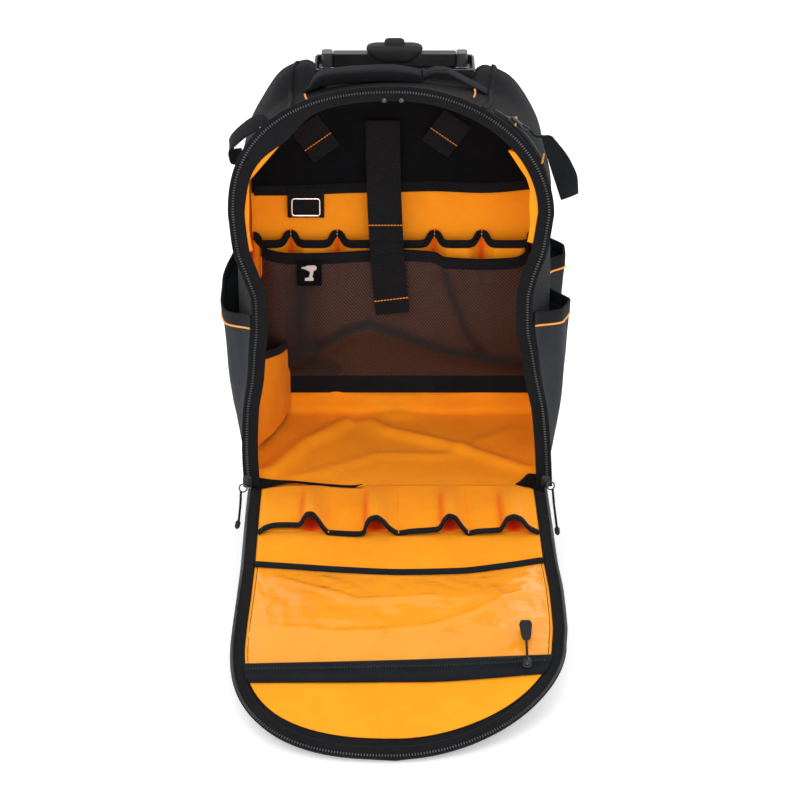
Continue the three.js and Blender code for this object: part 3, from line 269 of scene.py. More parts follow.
def frames(path, up, loop=False):
    """Tangent, across and up at each point of a path. up is one direction or one for each point."""
    if loop:
        tangent = np.roll(path, -1, 0) - np.roll(path, 1, 0)
    else:
        tangent = np.gradient(path, axis=0)
    tangent = unit(tangent)
    ups = np.broadcast_to(np.asarray(up, float), path.shape)
    across = unit(np.cross(tangent, ups))
    return tangent, across, unit(np.cross(across, tangent))


def sweep(path, up, profile, loop=False):
    """The grid of a profile (across, up) carried along a path: centre + a times across + b times up."""
    _, across, ups = frames(path, up, loop)
    profile = np.asarray(profile, float)
    if profile.ndim == 2:
        profile = np.broadcast_to(profile, (len(path),) + profile.shape)
    a, b = profile[..., 0, None], profile[..., 1, None]
    grid = path[:, None] + a * across[:, None] + b * ups[:, None]
    if loop:
        return np.concatenate([grid, grid[:1]])
    ends = [np.repeat(row.mean(0)[None, None], grid.shape[1], 1) for row in (grid[0], grid[-1])]
    return np.concatenate([ends[0], grid, ends[1]])


def strip_profile(a0, a1, b0, b1, corner=0.5, cuts=2):
    """A flat rectangle between two widths and two heights, with rounded corners."""
    angles = np.linspace(0, np.pi / 2, cuts + 1)
    points = []
    for k, (a, b) in enumerate([(a1, b1), (a0, b1), (a0, b0), (a1, b0)]):
        turn = angles + k * np.pi / 2
        centre = np.array([a - corner * np.sign(a - (a0 + a1) / 2), b - corner * np.sign(b - (b0 + b1) / 2)])
        points.append(centre + corner * np.stack([np.cos(turn), np.sin(turn)], axis=1))
    return np.concatenate(points)


def ring_profile(radius, sides=10):
    """A circle."""
    angles = np.linspace(0, 2 * np.pi, sides, endpoint=False)
    return radius * np.stack([np.cos(angles), np.sin(angles)], axis=1)


def strip(name, path, up, profile, finish, loop=False, **rest):
    """A closed piece swept along a path."""
    return surface(name, sweep(path, up, profile, loop), finish, wrap=True, closed=True, **rest)


def repeated(name, shape, faces, centres, axes, finish, **rest):
    """One small shape copied to many places: each copy is its points times the three axes there."""
    points = np.einsum("kj,njx->nkx", shape, axes) + centres[:, None]
    index = faces[None] + (np.arange(len(centres)) * len(shape))[:, None, None]
    mesh = mesh_of(name, points.reshape(-1, 3), index.reshape(-1, faces.shape[1]))
    return finish_piece(name, mesh, finish, **rest)


def pill(length, width, height):
    """A small closed bar with cut ends, for one stitch or one tooth: three rings of six points."""
    around = np.arange(6) * np.pi / 3
    ring = np.stack([np.cos(around) * width / 2, np.sin(around) * height / 2], axis=1)
    rows = [(-0.5, 0.45), (-0.3, 1), (0.3, 1), (0.5, 0.45)]
    points = np.array([[length * at, size * a, size * b] for at, size in rows for a, b in ring])
    r, c = np.meshgrid(np.arange(3), np.arange(6), indexing="ij")
    n = (c + 1) % 6
    sides = np.stack([r * 6 + c, r * 6 + n, (r + 1) * 6 + n, (r + 1) * 6 + c], axis=-1).reshape(-1, 4)
    caps = np.array([[3, 2, 1, 0], [5, 4, 3, 0], [18, 19, 20, 21], [18, 21, 22, 23]])
    return points, np.concatenate([sides, caps])


def along(path, up, pitch, start=0.0):
    """Places a pitch apart on a path, with the axes there: along, across and up."""
    length = np.linalg.norm(np.diff(path, axis=0), axis=1).sum()
    count = max(2, int((length - start) / pitch))
    centres = even(path, count)
    ups = np.asarray(up, float)
    if ups.ndim == 2:
        ups = even(ups, count)
    tangent, across, ups = frames(centres, ups)
    return centres, np.stack([tangent, across, ups], axis=1)


def stitches(name, lines, finish, pitch=3.4, length=2.5, thick=0.8, lift=0.3, **rest):
    """Rows of thread: a short rounded bar at each pitch along each (path, up)."""
    shape, faces = pill(length, thick, thick)
    parts = [along(np.asarray(path, float), up, pitch) for path, up in lines]
    centres = np.concatenate([c + lift * a[:, 2] for c, a in parts])
    axes = np.concatenate([a for _, a in parts])
    return repeated(name, shape, faces, centres, axes, finish, **rest)


print("tools ready")

# %% [markdown]
# ## Materials
# The bag is dense woven nylon, black outside and bright orange inside, with ribbed webbing, knitted mesh,
# clear film and moulded plastic. What several finishes share is a node group that is made once: the weave,
# the ribs of a webbing, soft creases, the grain of a mould. Each group gives heights and masks only, and
# the shader stays in its own material with its values set on its own sockets.

# %% Node tools
def add(tree, kind, values=None, **settings):
    """A node with its settings, and its inputs filled with values or linked to other nodes' outputs."""
    node = tree.nodes.new(kind)
    for key, value in settings.items():
        setattr(node, key, value)
    for key, value in (values or {}).items():
        if isinstance(value, bpy.types.NodeSocket):
            tree.links.new(value, node.inputs[key])
        else:
            node.inputs[key].default_value = value
    return node


def calc(tree, operation, *terms):
    """The output of a Math node."""
    return add(tree, "ShaderNodeMath", dict(enumerate(terms)), operation=operation).outputs[0]


def group(name, inputs, outputs):
    """An empty node group with named sockets, its input node and its output node."""
    tree = bpy.data.node_groups.new(name, "ShaderNodeTree")
    for title, kind, value in inputs:
        socket = tree.interface.new_socket(title, in_out="INPUT", socket_type="NodeSocket" + kind)
        if value is not None:
            socket.default_value = value
    for title in outputs:
        tree.interface.new_socket(title, in_out="OUTPUT", socket_type="NodeSocketFloat")
    return tree, add(tree, "NodeGroupInput").outputs, add(tree, "NodeGroupOutput").inputs


def use(tree, shared, values):
    """A shared group placed in a material."""
    node = add(tree, "ShaderNodeGroup", node_tree=shared)
    for key, value in values.items():
        if isinstance(value, bpy.types.NodeSocket):
            tree.links.new(value, node.inputs[key])
        else:
            node.inputs[key].default_value = value
    return node.outputs


# %% Shared effects
weave, put, out = group("weave", [("Vector", "Vector", None), ("Threads", "Float", 1000.0)],
                        ["Height", "Thread"])
split = add(weave, "ShaderNodeSeparateXYZ", {0: put["Vector"]}).outputs
waves = [calc(weave, "SINE", calc(weave, "MULTIPLY", calc(weave, "MULTIPLY", split[k], put["Threads"]),
                                  math.pi))
         for k in (0, 1)]
crests = [calc(weave, "ABSOLUTE", wave) for wave in waves]
over = calc(weave, "GREATER_THAN", calc(weave, "MULTIPLY", *waves), 0.0)
picked = calc(weave, "ADD", calc(weave, "MULTIPLY", crests[0], over),
              calc(weave, "MULTIPLY", crests[1], calc(weave, "SUBTRACT", 1.0, over)))
weave.links.new(picked, out["Height"])
weave.links.new(over, out["Thread"])

ribs, put, out = group("ribs", [("Vector", "Vector", None), ("Ribs", "Float", 500.0),
                                ("Slant", "Float", 0.25)],
                       ["Height"])
split = add(ribs, "ShaderNodeSeparateXYZ", {0: put["Vector"]}).outputs
course = calc(ribs, "ADD", split[1], calc(ribs, "MULTIPLY", calc(ribs, "ABSOLUTE", split[0]), put["Slant"]))
ribs.links.new(calc(ribs, "ABSOLUTE", calc(ribs, "SINE", calc(
    ribs, "MULTIPLY", calc(ribs, "MULTIPLY", course, put["Ribs"]), math.pi))), out["Height"])

creases, put, out = group("creases", [("Vector", "Vector", None), ("Scale", "Float", 14.0)],
                          ["Height", "Shade"])
broad = add(creases, "ShaderNodeTexNoise", {"Vector": put["Vector"], "Scale": put["Scale"], "Detail": 2.0,
                                            "Roughness": 0.45, "Distortion": 0.6}).outputs[0]
fine = add(creases, "ShaderNodeTexNoise", {"Vector": put["Vector"], "Scale": calc(
    creases, "MULTIPLY", put["Scale"], 5.0), "Detail": 3.0, "Roughness": 0.5}).outputs[0]
creases.links.new(calc(creases, "ADD", broad, calc(creases, "MULTIPLY", fine, 0.18)), out["Height"])
creases.links.new(calc(creases, "ADD", calc(creases, "MULTIPLY", broad, 0.6),
                       calc(creases, "MULTIPLY", fine, 0.4)), out["Shade"])

grain, put, out = group("grain", [("Vector", "Vector", None), ("Scale", "Float", 900.0)], ["Height", "Wear"])
pits = add(grain, "ShaderNodeTexVoronoi", {"Vector": put["Vector"], "Scale": put["Scale"]}).outputs[0]
cloud = add(grain, "ShaderNodeTexNoise", {"Vector": put["Vector"], "Scale": 18.0, "Detail": 4.0}).outputs[0]
grain.links.new(pits, out["Height"])
grain.links.new(cloud, out["Wear"])
print("shared effects:", [g.name for g in bpy.data.node_groups])


# %% Finishes
def start_material(name, roughness, **values):
    """A material with its Principled shader, its constants set on the shader's own sockets."""
    material = bpy.data.materials.new(name)
    material.use_nodes = True
    tree = material.node_tree
    shader = tree.nodes["Principled BSDF"]
    shader.inputs["Roughness"].default_value = roughness
    for key, value in values.items():
        shader.inputs[key.replace("_", " ")].default_value = value
    places = add(tree, "ShaderNodeTexCoord").outputs["Object"]
    return material, tree, shader, places


def shades(tree, factor, low, high, dark, light):
    """A colour that goes from dark to light as a factor goes from low to high."""
    share = add(tree, "ShaderNodeMapRange", {0: factor, 1: low, 2: high}).outputs[0]
    mixed = add(tree, "ShaderNodeMix", {0: share}, data_type="RGBA")
    mixed.inputs[6].default_value = (*dark, 1)
    mixed.inputs[7].default_value = (*light, 1)
    return mixed.outputs[2]


def bumped(tree, shader, layers):
    """Bump nodes one on another, each with a height and a depth in metres."""
    normal = None
    for height, depth in layers:
        values = {"Height": height, "Distance": depth, "Strength": 1.0}
        if normal is not None:
            values["Normal"] = normal
        normal = add(tree, "ShaderNodeBump", values).outputs[0]
    tree.links.new(normal, shader.inputs["Normal"])


def fabric(name, slot, dark, light, threads=1100.0, relief=0.00012, rough=0.8, sheen=0.25, fold=0.0012,
           ribbed=False, scale=14.0, deep=None, gloss=0.08):
    """Woven cloth: a weave or ribs on the piece's own map, soft creases on its place, colour from both.
    deep is
    the colour of the cloth in a fold that no light reaches, where the piece's own Shade is 1."""
    material, tree, shader, places = start_material(name, rough, Sheen_Weight=sheen, Sheen_Roughness=0.5,
                                                    Specular_IOR_Level=gloss)
    cloth = add(tree, "ShaderNodeUVMap", uv_map="Cloth").outputs[0]
    if ribbed:
        pattern = use(tree, ribs, {"Vector": cloth, "Ribs": threads})
    else:
        pattern = use(tree, weave, {"Vector": cloth, "Threads": threads})
    soft = use(tree, creases, {"Vector": places, "Scale": scale})
    # The colour follows the weave and the creases, darker where they are low: painted shade in their hollows.
    mask = calc(tree, "ADD", calc(tree, "MULTIPLY", pattern["Height"], 0.35), calc(
        tree, "MULTIPLY", soft["Shade"], 0.65))
    colour = shades(tree, mask, 0.3, 0.7, dark, light)
    if deep:
        hidden = add(tree, "ShaderNodeAttribute", attribute_name="Shade").outputs["Fac"]
        mixed = add(tree, "ShaderNodeMix", {0: hidden}, data_type="RGBA")
        tree.links.new(colour, mixed.inputs[6])
        mixed.inputs[7].default_value = (*deep, 1)
        colour = mixed.outputs[2]
    tree.links.new(colour, shader.inputs["Base Color"])
    bumped(tree, shader, [(soft["Height"], fold), (pattern["Height"], relief)])
    return material, slot


def moulded(name, slot, dark, light, rough=0.45, pits=900.0, relief=0.00006, **values):
    """Moulded plastic or rubber: fine grain, and a faint cloud of wear in colour and roughness."""
    material, tree, shader, places = start_material(name, rough, **values)
    marks = use(tree, grain, {"Vector": places, "Scale": pits})
    tree.links.new(shades(tree, marks["Wear"], 0.35, 0.7, dark, light), shader.inputs["Base Color"])
    gloss = add(tree, "ShaderNodeMapRange", {0: marks["Wear"], 1: 0.3, 2: 0.7, 3: rough - 0.06,
                                             4: rough + 0.1})
    tree.links.new(gloss.outputs[0], shader.inputs["Roughness"])
    bumped(tree, shader, [(marks["Height"], relief)])
    return material, slot


def metal(name, slot, colour, rough):
    """Bare or plated metal with faint drawn lines."""
    material, tree, shader, places = start_material(name, rough, Metallic=1.0)
    stretched = add(tree, "ShaderNodeMapping", {"Vector": places, "Scale": (40.0, 40.0, 1.5)}).outputs[0]
    lines = add(tree, "ShaderNodeTexNoise", {"Vector": stretched, "Scale": 30.0, "Detail": 3.0}).outputs[0]
    faded = tuple(0.8 * c for c in colour)
    tree.links.new(shades(tree, lines, 0.3, 0.7, faded, colour), shader.inputs["Base Color"])
    bumped(tree, shader, [(lines, 0.00003)])
    return material, slot


black_cloth = fabric("black nylon", "black_cloth", (0.0045, 0.0047, 0.0056), (0.0100, 0.0103, 0.0120),
                     sheen=0.03)
black_inner = fabric("black inner cloth", "black_cloth", (0.0020, 0.0028, 0.0038), (0.0045, 0.0062, 0.0082),
                     sheen=0.02, gloss=0.04)
grey_cloth = fabric("charcoal nylon", "grey_cloth", (0.0125, 0.0137, 0.0165), (0.027, 0.030, 0.035),
                    sheen=0.04)
orange_cloth = fabric("orange lining", "orange_cloth", (0.86, 0.27, 0.008), (0.98, 0.36, 0.013), rough=0.62,
                      sheen=0.03, relief=0.00008, threads=900.0, deep=(0.74, 0.036, 0.003))
webbing = fabric("black webbing", "black_webbing", (0.0036, 0.0046, 0.0060), (0.0100, 0.0122, 0.0150),
                 threads=420.0, relief=0.00035, ribbed=True, fold=0.0004, sheen=0.04)
binding = fabric("binding tape", "black_webbing", (0.0032, 0.0040, 0.0052), (0.0085, 0.0105, 0.0130),
                 threads=700.0, relief=0.0002, ribbed=True, fold=0.0005, sheen=0.03)
thread = fabric("orange thread", "orange_cloth", (0.80, 0.26, 0.02), (1.0, 0.42, 0.05), rough=0.6,
                fold=0.0002)
zip_tape = fabric("zip tape", "black_zip", (0.0036, 0.0038, 0.0045), (0.0090, 0.0093, 0.0105), threads=1300.0,
                  fold=0.0004, sheen=0.03)
zip_teeth = moulded("zip teeth", "black_zip", (0.034, 0.035, 0.038), (0.085, 0.086, 0.092), rough=0.32)
black_plastic = moulded("black plastic", "black_plastic", (0.010, 0.010, 0.011), (0.020, 0.020, 0.022),
                        rough=0.42,
                        Specular_IOR_Level=0.3)
grey_plastic = moulded("grey plastic", "grey_plastic", (0.036, 0.037, 0.041), (0.058, 0.059, 0.065),
                       rough=0.4)
rubber = moulded("black rubber", "black_rubber", (0.012, 0.012, 0.012), (0.024, 0.024, 0.025), rough=0.62,
                 pits=500.0,
                 Specular_IOR_Level=0.2)
tyre = moulded("tyre rubber", "wheel_rubber", (0.016, 0.016, 0.016), (0.034, 0.034, 0.033), rough=0.75,
               pits=400.0)
bright = metal("bright wire", "bright_metal", (0.80, 0.80, 0.82), 0.16)
gunmetal = metal("dark plated metal", "bright_metal", (0.075, 0.075, 0.08), 0.35)
satin = metal("satin tube", "tube_metal", (0.50, 0.51, 0.53), 0.32)
steel = metal("turned steel", "axle_steel", (0.55, 0.55, 0.56), 0.3)
pale = moulded("pale rubber", "grey_plastic", (0.52, 0.52, 0.52), (0.66, 0.66, 0.66), rough=0.5)


# %% Mesh cloth, clear film and floor
def netting():
    """Knitted net: threads where two crossed waves are low, and holes through which the lining shows."""
    material, tree, shader, places = start_material("dark net", 0.8)
    cloth = add(tree, "ShaderNodeUVMap", uv_map="Cloth").outputs[0]
    turned = add(tree, "ShaderNodeMapping", {"Vector": cloth, "Rotation": (0, 0, math.radians(38)),
                                             "Scale": (1.0, 0.72, 1.0)}).outputs[0]
    net = use(tree, weave, {"Vector": turned, "Threads": 420.0})
    split = add(tree, "ShaderNodeSeparateXYZ", {0: turned}).outputs
    crossed = [calc(tree, "ABSOLUTE", calc(tree, "SINE", calc(tree, "MULTIPLY", split[k], 420.0 * math.pi)))
               for k in (0, 1)]
    hole = calc(tree, "MULTIPLY", *crossed)
    alpha = add(tree, "ShaderNodeMapRange", {0: hole, 1: 0.45, 2: 0.8, 3: 1.0, 4: 0.72}).outputs[0]
    # The piece's Shade is painted shade: in the folds and towards the ends it darkens the threads and closes
    # the holes.
    folded = add(tree, "ShaderNodeAttribute", attribute_name="Shade").outputs["Fac"]
    tree.links.new(calc(tree, "MAXIMUM", alpha, calc(tree, "ADD", folded, 0.42)), shader.inputs["Alpha"])
    # The threads are lighter on the crests of the knit: painted shade.
    knitted = shades(tree, net["Height"], 0.25, 1.0, (0.0080, 0.0030, 0.0022), (0.062, 0.028, 0.020))
    mixed = add(tree, "ShaderNodeMix", {0: folded}, data_type="RGBA")
    tree.links.new(knitted, mixed.inputs[6])
    mixed.inputs[7].default_value = (0.0016, 0.0010, 0.0010, 1)
    tree.links.new(mixed.outputs[2], shader.inputs["Base Color"])
    bumped(tree, shader, [(net["Height"], 0.0003)])
    return material, "dark_mesh"


def clear_film():
    """Clear soft vinyl: a thin sheet that lets the lining show, with gloss broken by soft wrinkles."""
    material, tree, shader, places = start_material("clear vinyl", 0.1, Transmission_Weight=1.0, IOR=1.32)
    soft = use(tree, creases, {"Vector": places, "Scale": 16.0})
    # Its colour is a touch darker in the hollows of the wrinkles: painted shade.
    tree.links.new(shades(tree, soft["Shade"], 0.3, 0.7, (0.97, 0.96, 0.93), (1.0, 1.0, 0.98)),
                   shader.inputs["Base Color"])
    bumped(tree, shader, [(soft["Height"], 0.006)])
    return material, "clear_film"


net_cloth = netting()
vinyl = clear_film()

floor_material, floor_tree, floor_shader, floor_places = start_material("studio floor", 0.6,
                                                                        Emission_Color=(1, 1, 1, 1),
                                                                        Emission_Strength=0.3)
floor_cloud = add(floor_tree, "ShaderNodeTexNoise", {"Vector": floor_places, "Scale": 0.6}).outputs[0]
floor_tree.links.new(shades(floor_tree, floor_cloud, 0.2, 0.8, (0.93, 0.93, 0.93), (0.95, 0.95, 0.95)),
                     floor_shader.inputs["Base Color"])
floor_half = 9000.0
floor_corners = floor_half * np.array([[-1, -1, 0], [1, -1, 0], [1, 1, 0], [-1, 1, 0]], float)
floor_mesh = mesh_of("floor", floor_corners, np.array([[0, 1, 2, 3]]))
floor_mesh.materials.append(floor_material)
floor = bpy.data.objects.new("floor", floor_mesh)
bpy.context.scene.collection.objects.link(floor)
print(len(bpy.data.materials), "materials")

# %% [markdown]
# ## The soft body
# The bag is a bowl on its side. Its open edge is the zip line, which lies in a plane that leans back. From
# there the sides, crown and floor run to the flat back. Each ring of the body is a blend of three outlines,
# one for the front, the fullest middle and the back, and each outline ends in a rounded crown.

# %% The body as a surface
OPENING_HALF, OPENING_LENGTH, OPENING_LEAN = 168.0, 442.0, 36.0
HINGE_HEIGHT, HINGE_Y, BACK_Y, BODY_BOTTOM = 90.0, -22.0, 184.0, 86.0
MIDDLE_HALF, BACK_HALF, MIDDLE_TOP, BACK_TOP = 168.0, 163.0, 424.0, 415.0
LEAN = math.asin(OPENING_LEAN / OPENING_LENGTH)
CROWN_START = 0.7
CROWN_PART = 0.405
MIDDLE_DEPTH = 0.45
BACK_CORNER = 8.0
LINING = 2.9

rows_up = [0, 0.1, 0.2, 0.29, 0.35, 0.42, 0.48, 0.54, 0.61, 0.7]
opening_left = through(rows_up, [0.955, 0.965, 0.954, 0.917, 0.905, 0.888, 0.89, 0.937, 1, 1.027])
opening_right = through(rows_up, [0.98, 0.966, 0.942, 0.893, 0.866, 0.835, 0.833, 0.862, 0.925, 0.962])
middle_share = through([0, 0.08, 0.24, 0.7], [0.94, 0.965, 1, 1])


def crown(base, up, start, end, power):
    """Half width of an outline: base below start, then base times (1 - rise^p)^(1/p) up to its end."""
    rise = np.clip((up - start) / (end - start), 0, 1)
    return base * np.power(1 - np.power(rise, power), 1 / power)


def opening_half(sign, up, inset=0.0):
    """Half width of the zip line on one side at a share of its length."""
    low = np.minimum(up, CROWN_START)
    share = np.where(sign < 0, opening_left(low), opening_right(low))
    power = np.where(sign < 0, 2.35, 1.95)
    return crown(OPENING_HALF * share - inset, up, CROWN_START, 1, power)


def bag_at(sign, up, depth, inset=0.0):
    """A point of the body: the front, middle and back outlines weighed by the depth share, then lifted."""
    sign, up, depth, inset = np.broadcast_arrays(*[np.asarray(v, float) for v in (sign, up, depth, inset)])
    front = np.power(np.clip(1 - depth / MIDDLE_DEPTH, 0, 1), 1.3)
    back = np.power(np.clip((depth - MIDDLE_DEPTH) / (1 - MIDDLE_DEPTH), 0, 1), 1.1)
    middle = 1 - front - back
    full = np.where(sign < 0, 1.03, 1.0)
    middle_half = crown(MIDDLE_HALF * full * middle_share(up) - inset, up, CROWN_START, 1, 2.4)
    back_half = crown(BACK_HALF * full - inset, up, CROWN_START, 1, 3.2)
    half = front * opening_half(sign, up, inset) + middle * middle_half + back * back_half
    top = front * OPENING_LENGTH * math.cos(LEAN) + middle * MIDDLE_TOP + back * BACK_TOP
    low, high = BODY_BOTTOM + inset, HINGE_HEIGHT + top - inset
    front_y = HINGE_Y + up * (OPENING_LENGTH - inset) * math.sin(LEAN)
    y = front_y + (BACK_Y - inset - front_y) * depth
    saddle = 8.0 * smooth((88.0 - half) / 6) * smooth((depth - MIDDLE_DEPTH) * 3.4)
    shoulder = np.where(sign < 0, 17.0, 12.0) * smooth((half - 83) / 6) * smooth((156 - half) / 34)
    lift = shoulder * smooth((depth - 0.58) / 0.26) - saddle
    return np.stack([sign * half, y, low + (high - low) * up + lift * up], axis=-1)


def up_share(s):
    """From the place round the edge, -1 and 1 at the hinge and 0 on the crown, to a share of the height."""
    a = np.abs(s)
    rise = np.power(np.sin(np.clip(1 - a / CROWN_PART, 0, 1) * np.pi / 2), 0.88)
    straight = CROWN_START * (1 - a) / (1 - CROWN_PART)
    return np.where(a > CROWN_PART, straight, CROWN_START + (1 - CROWN_START) * rise)


def bag_point(s, depth, inset=0.0):
    """The same point from its place round the edge."""
    return bag_at(np.where(np.asarray(s) < 0, -1.0, 1.0), up_share(s), depth, inset)


def bag_grid(depths, drawn, inset, around=240, floor_steps=44):
    """Closed rings from the zip line to the back: up the left, over the crown, down the right, along the
    floor. Averaging each point with its neighbours three times rounds the two lower edges."""
    s = np.linspace(-1, 1, around)
    depth, draw = depths[:, None], drawn[:, None]
    wall = bag_point(s[None], depth, inset + draw)
    share = np.linspace(0, 1, floor_steps)[1:-1][None, :, None]
    base = wall[:, -1:] * (1 - share) + wall[:, :1] * share
    ring = np.concatenate([wall, base], axis=1)
    ring[..., 1] += (draw * depth)
    for _ in range(3):
        ring = (np.roll(ring, 1, 1) + 2 * ring + np.roll(ring, -1, 1)) / 4
    return ring


def close_back(rings, steps=7):
    """Carries the last ring inwards to a point, so the back is a flat cap."""
    last = rings[-1]
    middle = last.mean(0)
    inner = [middle + (last - middle) * (1 - t) for t in np.linspace(0, 1, steps + 1)[1:]]
    return np.concatenate([rings, np.stack(inner)])


front_depths = np.linspace(0, 0.955, 34)
round_turn = np.linspace(0, np.pi / 2, 7)[1:]
body_depths = np.concatenate([front_depths, 0.955 + 0.045 * np.sin(round_turn)])
body_drawn = np.concatenate([np.zeros(34), BACK_CORNER * (1 - np.cos(round_turn))])

outer = bag_grid(body_depths, body_drawn, 0.0)
outwards = unit(outer - np.array([0, 80, 300.0]))
sag = ripple(outer, 150, 4) * 1.6 + ripple(outer, 55, 5) * 0.5
calm = plateau(np.clip(body_depths, 0, 1), 0.06)[:, None]
outer = outer + outwards * (sag * calm)[..., None]
surface("bag_shell", close_back(outer), black_cloth, wrap=True, closed=True, thick=2.4,
        replaces=["body_shell"])
print("bag shell", outer.shape)

# %% [markdown]
# ## The orange lining
# The lining hangs a little loose inside the shell. On its lower back and floor it lies in a few soft
# creases, which are bells of height along chosen lines, pushed towards the inside.

# %% Lining
def lining_relief(points):
    """How far the lining stands in, in mm: ripples everywhere and creases on the lower back and floor."""
    on_back = near_line(points[..., [0, 2]], [(-150, 121), (-88, 114), (-30, 97), (-2, 91), (60, 103),
                                              (158, 120)], 7)
    low_back = smooth((points[..., 1] - 150) / 24) * smooth((150 - points[..., 2]) / 20)
    floor_lines = [[(-150, 8), (-139, 21), (-108, 87), (-75, 128), (-60, 150)],
                   [(-30, 150), (-13, 128), (60, 87), (147, 21)],
                   [(-120, -5), (-20, 60), (60, 60), (130, 130)]]
    on_floor = sum(near_line(points[..., [0, 1]], line, 10) * size for line,
                   size in zip(floor_lines, (10, 7, 3)))
    low = smooth((112 - points[..., 2]) / 18) * smooth((points[..., 1] + 14) / 20)
    return 8 * on_back * low_back + on_floor * low + 1.2 * (1 + ripple(points, 90, 11))


inner_depths = np.concatenate([np.linspace(0.008, 0.955, 44), 0.955 + 0.045 * np.sin(round_turn)])
inner_drawn = np.concatenate([np.zeros(44), BACK_CORNER * (1 - np.cos(round_turn))])
lining = bag_grid(inner_depths, inner_drawn, LINING, around=190, floor_steps=60)
lining_back = close_back(lining, 14)
inwards = -unit(lining_back - np.array([0, 60, 280.0]))
edge_calm = smooth(np.linspace(0, 1, len(lining_back)) * 9)[:, None]
lining_back = lining_back + inwards * (lining_relief(lining_back) * edge_calm)[..., None]
surface("bag_lining", lining_back, orange_cloth, wrap=True, facing=None, replaces=["orange_lining"])
print("lining", lining_back.shape)

# %% [markdown]
# ## Zips
# A zip is a woven tape with a row of moulded teeth on its edge. The tape is a flat profile carried round
# the opening. The teeth are one small bar, copied to a place every few millimetres.

# %% The opening's zip
FRONT_NORMAL = np.array([0, -math.cos(LEAN), math.sin(LEAN)])
TAPE_FACE = 2.4
TOOTH_PITCH = 2.9


def front_point(x, up, out=0.0):
    """A point of the leaning front plane: its x, its length up the plane, and a distance out of it."""
    base = np.stack([x, HINGE_Y + up * math.sin(LEAN), HINGE_HEIGHT + up * math.cos(LEAN)], axis=-1)
    return base + out * FRONT_NORMAL


edge_s = np.linspace(-0.996, 0.996, 700)
edge_up = up_share(edge_s)
opening_edge = front_point(np.sign(edge_s) * opening_half(np.sign(edge_s), edge_up), edge_up * OPENING_LENGTH)
opening_edge = even(opening_edge, 520)
crown_share = smooth((opening_edge[:, 2] - 380) / 120)


def tape(inside, outside, low, high):
    """A flat tape whose inner width changes along its path."""
    profile = strip_profile(-1, 1, low, high, corner=0.6)
    wide = np.where(profile[:, 0] < 0, profile[:, 0][None] * inside[:, None], profile[:, 0][None] * outside)
    return np.stack([wide, np.broadcast_to(profile[:, 1], wide.shape)], axis=-1)


left_shoulder = np.exp(-(((opening_edge[:, 0] + 132) / 30) ** 2)) * smooth((opening_edge[:, 2] - 385) / 40)
opening_tape = tape(12 - 2 * crown_share + 13 * left_shoulder, 5.5, 0.3, TAPE_FACE)
_, tape_across, _ = frames(opening_edge, FRONT_NORMAL)
inward_sign = -1.0 if (tape_across[260] @ np.array([0, 0, 1.0])) > 0 else 1.0
opening_tape[..., 0] *= -inward_sign
surface("opening_tape", sweep(opening_edge, FRONT_NORMAL, opening_tape), zip_tape, wrap=True, closed=True,
        replaces=["opening_zip"])
tooth_shape, tooth_faces = pill(1.25, 3.1, 2.2)
tooth_places, tooth_axes = along(opening_edge + FRONT_NORMAL * (TAPE_FACE + 0.8), FRONT_NORMAL, TOOTH_PITCH)
repeated("opening_teeth", tooth_shape, tooth_faces, tooth_places, tooth_axes, zip_teeth)
print(len(tooth_places), "teeth round the opening")

# %% [markdown]
# ## The folded front panel
# The panel leaves the foot of the opening and droops to the floor. Its course is found by adding up small
# steps whose slope grows with the length. Everything on the panel is placed by its x and its length along
# it.

# %% The panel's course
FLAP_START = HINGE_Y - 0.4
flap_steps = np.linspace(0, OPENING_LENGTH, 2001)
slope_at = np.radians(3 + (22.3 - 3) * np.power(flap_steps / OPENING_LENGTH, 1.4))
step = flap_steps[1]
gone_forward = np.concatenate([[0], np.cumsum(np.cos(slope_at[:-1] + np.diff(slope_at) / 2) * step)])
gone_down = np.concatenate([[0], np.cumsum(np.sin(slope_at[:-1] + np.diff(slope_at) / 2) * step)])
flap_rows = [0, 0.17, 0.34, 0.48, 0.6, 0.66]
flap_left = through(flap_rows, [0.949, 0.952, 0.953, 0.963, 0.977, 0.982])
flap_right = through(flap_rows, [0.965, 0.978, 0.992, 1.018, 1.024, 1.012])
FLAP_CROWN = 0.66


def flap_normal(length):
    """The direction out of the panel's inner face."""
    slope = np.interp(length, flap_steps, slope_at)
    return np.stack([0 * slope, -np.sin(slope), np.cos(slope)], axis=-1)


def flap_point(x, length, off=0.0):
    """A point by its x, its length along the panel and its height off the inner face."""
    x, length, off = np.broadcast_arrays(*[np.asarray(v, float) for v in (x, length, off)])
    y = FLAP_START - np.interp(length, flap_steps, gone_forward)
    z = HINGE_HEIGHT - np.interp(length, flap_steps, gone_down)
    return np.stack([x, y, z], axis=-1) + off[..., None] * flap_normal(length)


def flap_half(sign, length, border=0.0, tip=None):
    """Half width of the panel on one side, drawn in by a border."""
    end = OPENING_LENGTH - (border if tip is None else tip)
    low = np.minimum(length / OPENING_LENGTH, FLAP_CROWN)
    share = np.where(sign < 0, flap_left(low), flap_right(low))
    power = np.where(sign < 0, 2.6, 1.85)
    return crown(OPENING_HALF * share - border, length, FLAP_CROWN * OPENING_LENGTH, end, power)


def flap_grid(lengths, border, tip, off, columns=90):
    """Rows across the panel at these lengths. off is a function of x and length."""
    lengths = np.asarray(lengths, float)[:, None]
    u = np.linspace(0, 1, columns)[None]
    left, right = -flap_half(-1.0, lengths, border, tip), flap_half(1.0, lengths, border, tip)
    x = left + (right - left) * u
    return flap_point(x, lengths, off(x, lengths))


